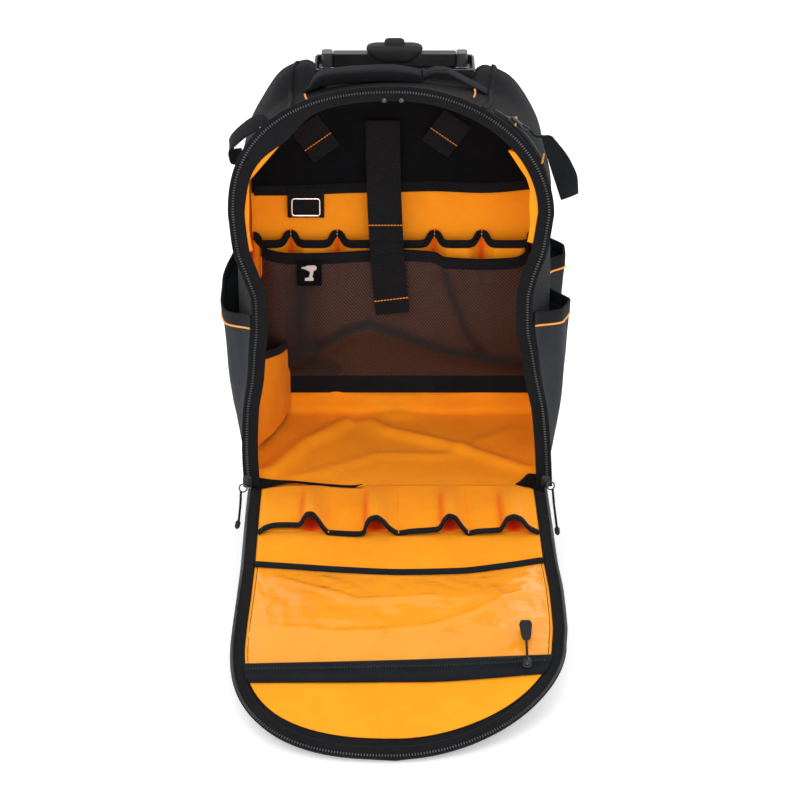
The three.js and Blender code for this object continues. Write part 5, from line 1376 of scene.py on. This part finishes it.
inner_u, inner_v = np.linspace(0, 1, 50)[None], np.linspace(0, 1, 40)[:, None]
surface("inner_pocket", inner_pocket(inner_u, inner_v) + 0 * inner_u[..., None], orange_cloth,
        facing=(1, -0.3, 0),
        thick=1.1, replaces=["inner_side_pocket"])
inner_rim = even(inner_pocket(np.linspace(0, 1, 60), np.full(60, 0.965)), 60)
strip("inner_pocket_binding", inner_rim, unit(np.cross(unit(np.gradient(inner_rim, axis=0)), [0, 0, 1.0])),
      strip_profile(-4.5, 4.5, -1.4, 1.4, corner=0.7), binding)
print("inner pocket")

# %% [markdown]
# ## Outside pockets and straps
# The side pockets are sheets sewn to the body at the foot and both ends, and they stand away from it at the
# mouth. A wide binding folds over each mouth, and an orange piping lies in the seam under it.

# %% Side pockets
def edge_band(name, rim, below, facing, width, finish=None, proud=1.4, sunk=1.8, over=1.2, **rest):
    """A folded tape over a cloth's edge. It reaches this width down the cloth, towards the points below."""
    tangent, down = unit(np.gradient(rim, axis=0)), unit(below - rim)
    up = unit(np.cross(tangent, down))
    if (up @ np.asarray(facing, float)).mean() < 0:
        up = -up
    profile = strip_profile(-over, width, -sunk, proud, corner=0.8)
    profile[:, 0] *= np.sign((np.cross(tangent, up) * down).sum(-1).mean())
    return strip(name, rim, up, profile, finish or binding, **rest)


SIDE_POCKETS = {
    "side_pocket_left": (-1.0, (0.08, 0.88), [0.438, 0.418, 0.48, 0.56], 0.70, 0.95, 91),
    "side_pocket_right": (1.0, (0.08, 0.62), [0.445, 0.432, 0.432, 0.438], 0.85, 0.5, 92),
    "rear_pocket_right": (1.0, (0.64, 0.95), [0.505, 0.508, 0.52, 0.535], 0.80, 0.6, 93),
}


def side_pocket(row, u, v, skin=0.0):
    """The body's own side, moved out by a stand that is full in the middle of the mouth and none at the
    ends."""
    sign, depth, top, stand, fill, seed = row
    up = v * through([0, 0.35, 0.7, 1], top)(u)
    base = bag_at(sign, up, depth[0] + (depth[1] - depth[0]) * u)
    away = 0.8 + 24 * stand * plateau(u, 0.36) * np.power(v, fill)
    slack = (1.3 * ripple(base, 70, seed) + 0.5 * ripple(base, 26, seed + 5)) * plateau(u,
                                                                                        0.2) * smooth(v * 4)
    return base + (sign * (away + slack + skin))[..., None] * np.array([1.0, 0, 0])


for key, row in SIDE_POCKETS.items():
    sign = row[0]
    u, v = np.linspace(0, 1, 70)[None], np.linspace(0, 1, 60)[:, None]
    surface(f"{key}_cloth", side_pocket(row, u, v, 1.8), grey_cloth, facing=(sign, 0, 0), thick=1.8,
            replaces=[key])
    places = np.linspace(0, 1, 120)
    rim, below = side_pocket(row, places, np.ones(120), 1.4), side_pocket(row, places, np.full(120, 0.93),
                                                                          1.4)
    edge_band(f"{key}_binding", rim, below, (sign, -0.3, 0.2), 12, proud=1.0, sunk=1.9)
    cord_line = rim + unit(below - rim) * 14.0 + np.array([sign * 0.9, 0, 0])
    strip(f"{key}_piping", even(cord_line, 100), (0, 0, 1), ring_profile(1.15, 8), thread)
print("side pockets")

# %% [markdown]
# The loop on the left is one length of 25 mm webbing, which leaves the body, turns over in the air and
# comes back to it. The zip's pull on the right is folded at its foot and gathered at its top. Their places
# are shares of the body's height.

# %% Webbing loops
def loop_line(sign, depth, reach, places, count=70):
    """The middle of a loop: the body's surface at each height, moved out by a share of the reach."""
    up, out = np.array(places).T
    base = bag_at(sign, up, depth)
    return curve(base + (reach * out)[:, None] * np.array([sign, 0, 0.2]), count)


def loop_strap(name, line, width, node):
    """Flat webbing whose width runs from front to back and a little upwards."""
    up = unit(np.cross(np.gradient(line, axis=0), [0, 0.92, 0.38]))
    return strip(name, line, up, strip_profile(-width / 2, width / 2, 0, 1.8, corner=0.6), webbing,
                 replaces=[node])


left_loop = [(0.91, 0.08), (0.915, 0.5), (0.885, 0.95), (0.845, 1), (0.825, 0.5), (0.83, 0.08)]
loop_strap("left_loop", loop_line(-1.0, 0.22, 18, left_loop), 25, "side_loop_left")
pull_rows = [0, 0.18, 0.45, 0.75, 1]
pull_left, pull_right = through(pull_rows, [154, 158, 164.5, 171, 176]), through(pull_rows,
                                                                                 [163, 174, 186, 193, 194])
pull_low, pull_high = through(pull_rows, [474, 458, 436, 416, 401]), through(pull_rows,
                                                                             [474, 461, 443, 424, 406])


def pull_face(u, t):
    """The pull: folded at its foot, so t runs down the front layer and up the rear one. It is gathered at its
    top, and its faces look to the front."""
    v = 1 - np.abs(2 * t - 1)
    x = pull_left(v) + (pull_right(v) - pull_left(v)) * u
    z = pull_low(v) + (pull_high(v) - pull_low(v)) * u
    y = 37.5 + 5.5 * smooth((t - 0.4) / 0.2) * smooth(v * 4) + 2.0 * np.sin(2.6 * u + 3 * v) + 8 * (u
                                                                                                    - 0.5) * v
    return np.stack(np.broadcast_arrays(x, y, z), axis=-1)


surface("right_pull", pull_face(np.linspace(0, 1, 16)[None], np.linspace(0, 1, 90)[:, None]), webbing,
        closed=True,
        thick=1.6, replaces=["webbing_pull"])


def on_bag(places, lift):
    """Points on the shell at (place round the edge, depth), lifted off it, with the direction off the
    shell."""
    s, depth = np.array(places).T
    here = bag_point(s, depth)
    out = unit(np.cross(bag_point(s, depth + 0.01) - here, bag_point(s + 0.004, depth) - here))
    out = out * np.where(out[:, 2:] < 0, -1, 1)
    return here + lift * out, out


tack_rows = [[(-0.1265, 0.19), (-0.1305, 0.43)], [(0.106, 0.56), (0.121, 0.25)],
             [(-0.228, 0.05), (-0.229, 0.2)],
             [(0.207, 0.318), (0.221, 0.152)], [(0.303, 0.278), (0.313, 0.1)]]
tack_lines = []
for row in tack_rows:
    share = np.linspace(0, 1, 14)[:, None]
    line, out = on_bag(np.array(row[0]) * (1 - share) + np.array(row[1]) * share, 3.2)
    tack_lines.append((line, out))
stitches("outside_tacks", tack_lines, thread, pitch=1.7, length=2.4, thick=2.2, lift=0.3)
seam_rows = {"left": [(-0.118, 0.93), (-0.126, 0.9), (-0.149, 0.708), (-0.162, 0.405), (-0.166, 0.12)],
             "right": [(0.117, 0.95), (0.123, 0.91), (0.136, 0.575), (0.151, 0.217), (0.154, 0.1)]}
for key, row in seam_rows.items():
    places = curve(np.concatenate([np.array(row), np.zeros((5, 1))], axis=1), 60)[:, :2]
    line, out = on_bag(places, 1.6)
    strip(f"crown_seam_{key}", line, out, strip_profile(-3.2, 1.6, -1.4, 1.3, corner=0.9), black_cloth)
print("loops, tacks and seams")

# %% [markdown]
# The side zip's slider lies flat on the body. A plated ring and a short link join it to the webbing pull.

# %% Side zip slider
slider_point = bag_at(1.0, 0.915, 0.2)
slider_down = unit(bag_at(1.0, 0.895, 0.2) - slider_point)
slider_rear = unit(bag_at(1.0, 0.915, 0.25) - slider_point)
slider_out = unit(np.cross(slider_down, slider_rear))
slider_frame = np.array([slider_down, np.cross(slider_out, slider_down), slider_out])


def on_slider(down, across, out):
    """A point in the slider's own directions."""
    return slider_point + np.array([down, across, out], float) @ slider_frame


plate("side_slider", oval(22, 13, 5), on_slider(3, 0, 0.6), slider_frame, 3.4, black_plastic,
      replaces=["rear_zip_slider"])
plate("side_slider_bridge", oval(15, 4.4, 2), on_slider(3, 0, 3.8), slider_frame, 3.6, gunmetal)
ring_turn = np.linspace(0, 2 * np.pi, 40, endpoint=False)
ring_line = np.stack([on_slider(13 + 6 * math.cos(a), 6 * math.sin(a),
                                6.5 + 1.5 * math.cos(a)) for a in ring_turn])
strip("side_slider_ring", ring_line, slider_out, ring_profile(1.2, 8), gunmetal, loop=True)
link_line = curve([on_slider(17.5, 0, 8), on_slider(22, -1, 9), on_slider(27, -3, 8.5), (158.5, 39.0, 472.0)],
                  20)
strip("side_slider_link", link_line, slider_out, strip_profile(-4, 4, -0.9, 0.9, corner=0.7), webbing)
track_places = np.stack([np.linspace(0.17, 0.34, 90), np.linspace(0.215, 0.2, 90)], axis=1)
track, track_out = on_bag(track_places, 1.0)
strip("side_zip_tape", track, track_out, strip_profile(-11, 11, -1.4, 0.6, corner=0.5), zip_tape)
coil_places, coil_axes = along(track + 0.9 * track_out, track_out, 2.2)
repeated("side_zip_teeth", tooth_shape, tooth_faces, coil_places, coil_axes, zip_teeth)
print("side zip slider")

# %% [markdown]
# ## Carry handle
# A flat strap sewn over the crown, with padding rolled into its middle. Its course, its thickness and its
# width are tables over the distance along it. The padding stops at a sewn line on the right, where the bare
# strap bulges up once more before its end is tacked down.

# %% Carry handle
HANDLE_Y = 107.5
handle_course = [(-87.5, 500.5), (-87.2, 506), (-85.2, 511.5), (-78, 515.2), (-48, 518.8), (-10, 520.6),
                 (12, 518.6),
                 (26, 516.5), (31, 518.5), (43, 523), (54, 522.5), (65, 517), (76, 511), (87, 505.5),
                 (97, 500)]
handle_line = np.array([(x, HANDLE_Y, z) for x, z in handle_course])
handle_path = curve(handle_line, 130)
handle_x = handle_path[:, 0]
handle_thick = through([-88, -86.6, -83, -74, 10, 22, 28, 32, 97],
                       [6, 10, 12.5, 14.5, 14.5, 13, 7, 6, 3.5])(handle_x)
handle_wide = through([-88, -70, -10, 18, 30, 55, 97], [31, 34, 35, 33, 29, 29, 27])(handle_x)
handle_round = strip_profile(-0.5, 0.5, -0.5, 0.5, corner=0.3, cuts=5)
handle_soft = 1 + 0.035 * ripple(handle_path, 34, 101)[:, None]
handle_profile = handle_round[None] * np.stack([handle_wide[:, None] * handle_soft,
                                                handle_thick[:, None] * handle_soft],
                                               axis=-1)
carry = strip("carry_handle_pad", handle_path, (0, 0.05, 1), handle_profile, black_cloth,
              replaces=["carry_handle"],
              levels=1)
handle_hem = [(handle_path[10:98] + np.array([0, side * 15.6, 1.0 + 0.32 * 14.5]), (0, 0, 1)) for side in (-1,
                                                                                                           1)]
stitches("carry_handle_hem", handle_hem, black_inner, pitch=3.2, length=2.3, thick=0.8, lift=0.2)
close_line = np.stack([np.full(12, 27.8), np.linspace(-14.4, 14.4, 12) + HANDLE_Y, np.full(12, 521.0)],
                      axis=1)
stitches("carry_handle_seam", [(close_line, (0, 0, 1))], black_inner, pitch=2.2, length=2.0, thick=1.3)
rivet_half = ring_profile(1.0, 20)
for key, x in (("left", -12.5), ("right", 5.5)):
    rivet_at = front_point(np.array(x), np.array(OPENING_LENGTH - 9.0), TAPE_FACE - 0.2)
    rivet_axes = np.array([[1.0, 0, 0], np.cross(FRONT_NORMAL, [1.0, 0, 0]), FRONT_NORMAL])
    plate(f"crown_rivet_{key}", 2.7 * rivet_half, rivet_at, rivet_axes, 1.3, gunmetal)
print("carry handle")

# %% [markdown]
# ## Hard pieces
# The moulded and drawn pieces already have their true shape in the CAD. A copy of each is merged, its flat
# faces are joined, and a small bevel rounds every edge, because no moulded edge is sharp and the light
# catches on it. The copy rides on its node's own body.

# %% Rounded copies of the hard pieces
def rounded(node, name, finish, radius, body="root", below=None, cuts=2):
    """The copy. below is a height and a second finish, for a piece whose lower part is of another
    material."""
    mesh = bpy.data.meshes.new(name)
    shape = bmesh.new()
    shape.from_mesh(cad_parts[node].data)
    bmesh.ops.remove_doubles(shape, verts=shape.verts, dist=2e-6)
    bmesh.ops.dissolve_limit(shape, angle_limit=math.radians(0.6), verts=shape.verts, edges=shape.edges)
    for face in shape.faces:
        face.smooth = True
        face.material_index = int(below is not None and face.calc_center_median().z < below[0] * MM)
    shape.to_mesh(mesh)
    shape.free()
    for layer in [a.name for a in mesh.attributes if a.name == "custom_normal"]:
        mesh.attributes.remove(mesh.attributes[layer])
    mesh.validate()
    piece = finish_piece(name, mesh, finish, body=body, replaces=[node])
    if below is not None:
        mesh.materials.append(below[1][0])
    edges = piece.modifiers.new("edges", "BEVEL")
    edges.width, edges.segments = radius * MM, cuts
    edges.limit_method, edges.angle_limit = "ANGLE", math.radians(28)
    edges.harden_normals = True
    return piece


post_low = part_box("handle_bar")[0].z / MM
rounded("handle_cup", "handle_well", black_plastic, 0.9)
rounded("tube_bracket", "tube_foot_block", black_plastic, 1.0)
rounded("base_tray", "base_shell", black_plastic, 1.2)
rounded("front_foot", "front_foot_pad", rubber, 1.6)
for key in ("left", "right"):
    rounded(f"outer_tube_{key}", f"tube_outer_{key}", satin, 0.5)
    rounded(f"middle_tube_{key}", f"tube_middle_{key}", satin, 0.4, body="handle_middle")
    rounded(f"handle_post_{key}", f"post_{key}", grey_plastic, 0.7, body="pull_handle",
            below=(post_low, satin))
    rounded(f"wheel_housing_{key}", f"wheel_guard_{key}", black_plastic, 1.0)
rounded("handle_bar", "pull_bar", black_plastic, 0.9, body="pull_handle", cuts=3)
GRIP_X, GRIP_Y = -2.0, 190.9


def moulded_grip(name, rows, finish, body, node):
    """A stack of rounded rectangles: each row is a height, a half width and a half depth."""
    corners = [strip_profile(-a, a, -b, b, corner=min(a, b) * 0.72, cuts=6) for _, a, b in rows]
    grid = np.stack([np.concatenate([c, np.full((len(c), 1), row[0])], axis=1) for c,
                     row in zip(corners, rows)])
    grid = grid + np.array([GRIP_X, GRIP_Y, 0])
    poles = [np.repeat(row.mean(0)[None, None], grid.shape[1], 1) for row in (grid[0], grid[-1])]
    surface(name, np.concatenate([poles[0], grid, poles[1]]), finish, wrap=True, closed=True, body=body,
            replaces=[node])


grip_rows = [(508.9, 17, 9.0), (510.0, 19, 10.2), (514.0, 24.5, 10.8), (519.0, 29.5, 11.0),
             (522.0, 31.0, 11.0),
             (524.2, 30.4, 10.6), (526.0, 28.0, 9.4), (527.0, 24.0, 7.6), (527.4, 18.0, 5.0)]
moulded_grip("pull_grip", grip_rows, rubber, "pull_handle", "handle_grip")
button_rows = [(521.0, 11.2, 5.0), (529.5, 11.2, 5.0), (531.6, 10.6, 4.6), (533.0, 8.8, 3.8),
               (533.6, 6.0, 2.4)]
moulded_grip("pull_button", button_rows, rubber, "handle_button", "handle_button")
print("hard pieces")

# %% [markdown]
# Wheels are turned shapes: a profile of radius and width carried once round the axle. The tyre has three
# grooves, and the hub has a rim, a dish and a boss.

# %% Wheels
WHEEL_Y, WHEEL_HEIGHT = 178.0, 38.0


def turned(name, profile, x, finish, sides=72, spokes=0, **rest):
    """A profile of (radius, width) carried round a line along X. Spokes push the dish in and out by a
    wave."""
    radius, wide = np.array(profile, float).T
    angle = np.linspace(0, 2 * np.pi, sides, endpoint=False)[None]
    dish = smooth((radius - 11) / 3) * smooth((24.5 - radius) / 3)
    press = 1 - (0.34 * dish[:, None] * smooth(0.5 + 1.6 * np.cos(spokes * angle)) if spokes else 0 * angle)
    grid = np.stack([x + wide[:, None] * press, WHEEL_Y + radius[:, None] * np.cos(angle),
                     WHEEL_HEIGHT + radius[:, None] * np.sin(angle)], axis=-1)
    return surface(name, grid, finish, wrap=True, closed=True, **rest)


hub_half = [(4.4, 15.3), (7.6, 15.3), (9.2, 14.6), (9.8, 11.5), (11, 8.6), (14, 8.0), (18, 8.0), (22, 8.0),
            (24.4, 9.4),
            (25.2, 10.4), (26.6, 10.6), (26.9, 9.6)]
tyre_half = [(27.5, 0), (27.5, 11.2), (29, 12), (34.6, 12), (36.9, 11.0), (38, 8.4), (38, 6.4), (37.1, 6.1),
             (37.1, 5.4),
             (38, 5.1), (38, 1.0), (37.1, 0.6), (37.1, 0)]
for key, sign in (("left", -1.0), ("right", 1.0)):
    hub_ring = hub_half + [(r, -w) for r, w in hub_half[::-1]] + hub_half[:1]
    tyre_ring = tyre_half + [(r, -w) for r, w in tyre_half[::-1]]
    turned(f"hub_{key}", hub_ring, sign * 146, grey_plastic, spokes=5, sides=120, body=f"wheel_{key}",
           replaces=[f"wheel_hub_{key}"])
    turned(f"tyre_{key}", tyre_ring, sign * 146, tyre, body=f"wheel_{key}", replaces=[f"wheel_tyre_{key}"])
    pin = [(0, 19), (3.4, 19), (4.0, 18.4), (4.0, -18.4), (3.4, -19), (0, -19)]
    turned(f"axle_pin_{key}", pin, sign * 146, steel, sides=32, replaces=[f"axle_{key}"])
print("wheels")

# %% [markdown]
# ## Padded back and shoulder straps
# The pad covers the tubes. It is sewn in channels, so it swells between them, and the straps are thinner
# pads that arch off it and end in webbing. Each pad is a closed form from two faces that meet in a rounded
# rim.

# %% Pads
PAD_LOW, PAD_HIGH, PAD_BASE = 26.0, 376.0, 184.4


def stuffed(name, front, back, finish, **rest):
    """A closed pad: the front face's columns, then the back face's in reverse, with both ends drawn
    together."""
    ring = np.concatenate([front, back[:, ::-1]], axis=1)
    middle = (front + back) / 2
    ends = [np.concatenate([row, row[::-1]])[None] for row in (middle[0], middle[-1])]
    return surface(name, np.concatenate([ends[0], ring, ends[1]]), finish, wrap=True, closed=True, **rest)


def back_pad_face(u, v, skin):
    """Over the tubes the pad stands 13 mm off the body, and its swell falls along the sewn channels."""
    height = PAD_LOW + (PAD_HIGH - PAD_LOW) * v
    half = np.clip(wall_half(1.0, height) + 4.4, 107, 138)
    x = half * (2 * u - 1)
    stand = 13.4 * smooth((half - np.abs(x)) / 22)
    seams = np.exp(-((np.abs(x) - 42) / 5.0) ** 2) + np.exp(-((np.abs(x) - 104) / 5.0) ** 2)
    cross = sum(np.exp(-(((height - h) / 5.0) ** 2)) for h in (110, 200,
                                                               290)) * (np.abs(x) > 42) * (np.abs(x) < 104)
    swell = (0.35 + 0.65 * plateau(u, 0.1) * plateau(v, 0.06)) * (1 - 0.42 * np.clip(seams + cross, 0, 1))
    return np.stack(np.broadcast_arrays(x, PAD_BASE + stand + skin * swell, HINGE_HEIGHT + height), axis=-1)


pad_u, pad_v = np.linspace(0, 1, 110)[None], np.linspace(0, 1, 150)[:, None]
back_pad = stuffed("back_padding", back_pad_face(pad_u, pad_v, 10.5), back_pad_face(pad_u, pad_v, 0.0),
                   black_cloth,
                   replaces=["back_pad"])

shoulder_up = [0, 0.3, 0.6, 0.85, 1]
shoulder_out = through(shoulder_up, [0.304, 0.42, 0.565, 0.667, 0.703])
shoulder_height = through(shoulder_up, [0.99, 0.8, 0.59, 0.425, 0.335])
shoulder_stand = through(shoulder_up, [0.06, 0.81, 1, 0.5, 0.06])
shoulder_wide = through(shoulder_up, [0.8, 1, 1, 0.9, 0.55])


def shoulder_face(sign, u, v, skin):
    """A strap arches off the pad by its stand, and is widest along its middle."""
    x = 138 * shoulder_out(v) + (u - 0.5) * 58 * shoulder_wide(v)
    swell = 0.4 + 0.6 * plateau(u, 0.2) * plateau(v,
                                                  0.05) - 0.25 * np.exp(-(((np.abs(u - 0.5) - 0.37)
                                                                           / 0.03) ** 2))
    y = 208.4 + 16 * shoulder_stand(v) + skin * swell
    return np.stack(np.broadcast_arrays(sign * x, y, HINGE_HEIGHT + PAD_HIGH * shoulder_height(v)), axis=-1)


for key, sign in (("left", -1.0), ("right", 1.0)):
    u, v = np.linspace(0, 1, 50)[None], np.linspace(0, 1, 90)[:, None]
    strap = stuffed(f"shoulder_padding_{key}", shoulder_face(sign, u, v, 10.8),
                    shoulder_face(sign, u, v, 0.0),
                    black_cloth, replaces=[f"shoulder_strap_{key}"])
    share = np.linspace(0, 1, 40)
    middle = 138 * (0.703 + (0.81 - 0.703) * share)
    height = HINGE_HEIGHT + PAD_HIGH * (0.335 + (0.117 - 0.335) * share)
    lower = np.stack([sign * middle, np.full(40, 208.6), height], axis=1)
    strip(f"shoulder_webbing_{key}", lower, (0, 1, 0), strip_profile(-12.5, 12.5, 0, 1.8, corner=0.6),
          webbing,
          replaces=[f"strap_webbing_{key}"])
    upper = np.stack([sign * 138 * shoulder_out(share), 208.4 + 16 * shoulder_stand(share) + 10.2,
                      HINGE_HEIGHT + PAD_HIGH * shoulder_height(share)], axis=1)[2:36]
    strip(f"shoulder_run_{key}", upper, (0, 1, 0.2), strip_profile(-9, 9, 0, 1.4, corner=0.5), webbing)
print("back pad and shoulder straps")

# %% [markdown]
# ## Corner sliders and their cords
# A slider rests at each lower corner of the opening. A plated ring through its tab carries a short loop of
# thin cord, which hangs straight down and ends in a moulded tip.

# %% Corner sliders and cords
for key, sign, cord_points in (
        ("left", -1.0, [(-168.8, -34.2, 91.5), (-169.0, -35.2, 88), (-169.6, -35.5, 78), (-170.6, -35.6, 68),
                        (-171.8, -35.7, 58), (-172.4, -35.8, 55.5)]),
        ("right", 1.0, [(169.8, -34.2, 94.5), (170.2, -35.2, 90), (171.4, -35.6, 78), (173.2, -35.8, 64),
                        (174.8, -36.0, 52), (175.3, -36.0, 48)])):
    corner = front_point(np.array(sign * (OPENING_HALF * 0.965)), np.array(9.0), TAPE_FACE + 0.6)
    corner_axes = np.array([[1.0, 0, 0], np.cross(FRONT_NORMAL, [1.0, 0, 0]), FRONT_NORMAL])
    plate(f"corner_slider_{key}", oval(9.5, 14, 3), corner, corner_axes, 3.2, black_plastic)
    plate(f"corner_slider_bridge_{key}", oval(3.4, 11, 1.6), corner + 3.2 * FRONT_NORMAL, corner_axes, 2.6,
          black_plastic)
    hang = np.array(cord_points[0]) + [-sign * 2.2, 2.2, 2.6]
    turn = np.linspace(0, 2 * np.pi, 36, endpoint=False)
    ring = hang + np.stack([4.2 * np.cos(turn), 0.9 * np.sin(turn), 4.2 * np.sin(turn)], axis=1)
    strip(f"corner_ring_{key}", ring, (0, 1, 0.01), ring_profile(0.8, 8), gunmetal, loop=True)
    line = curve(cord_points, 30)
    pull = strip(f"corner_cord_{key}", line, (0, 1, 0), ring_profile(1.3, 8), webbing)
    tip_line = line[-1] + np.linspace(-1.5, 8.5, 14)[:, None] * unit(line[-1] - line[-3])
    tip_round = ring_profile(1.0, 12)[None] * (1.5 + 1.4 * plateau(np.linspace(0, 1, 14), 0.25))[:, None,
                                                                                                 None]
    tip = strip(f"corner_tip_{key}", tip_line, (0, 1, 0), tip_round, rubber)
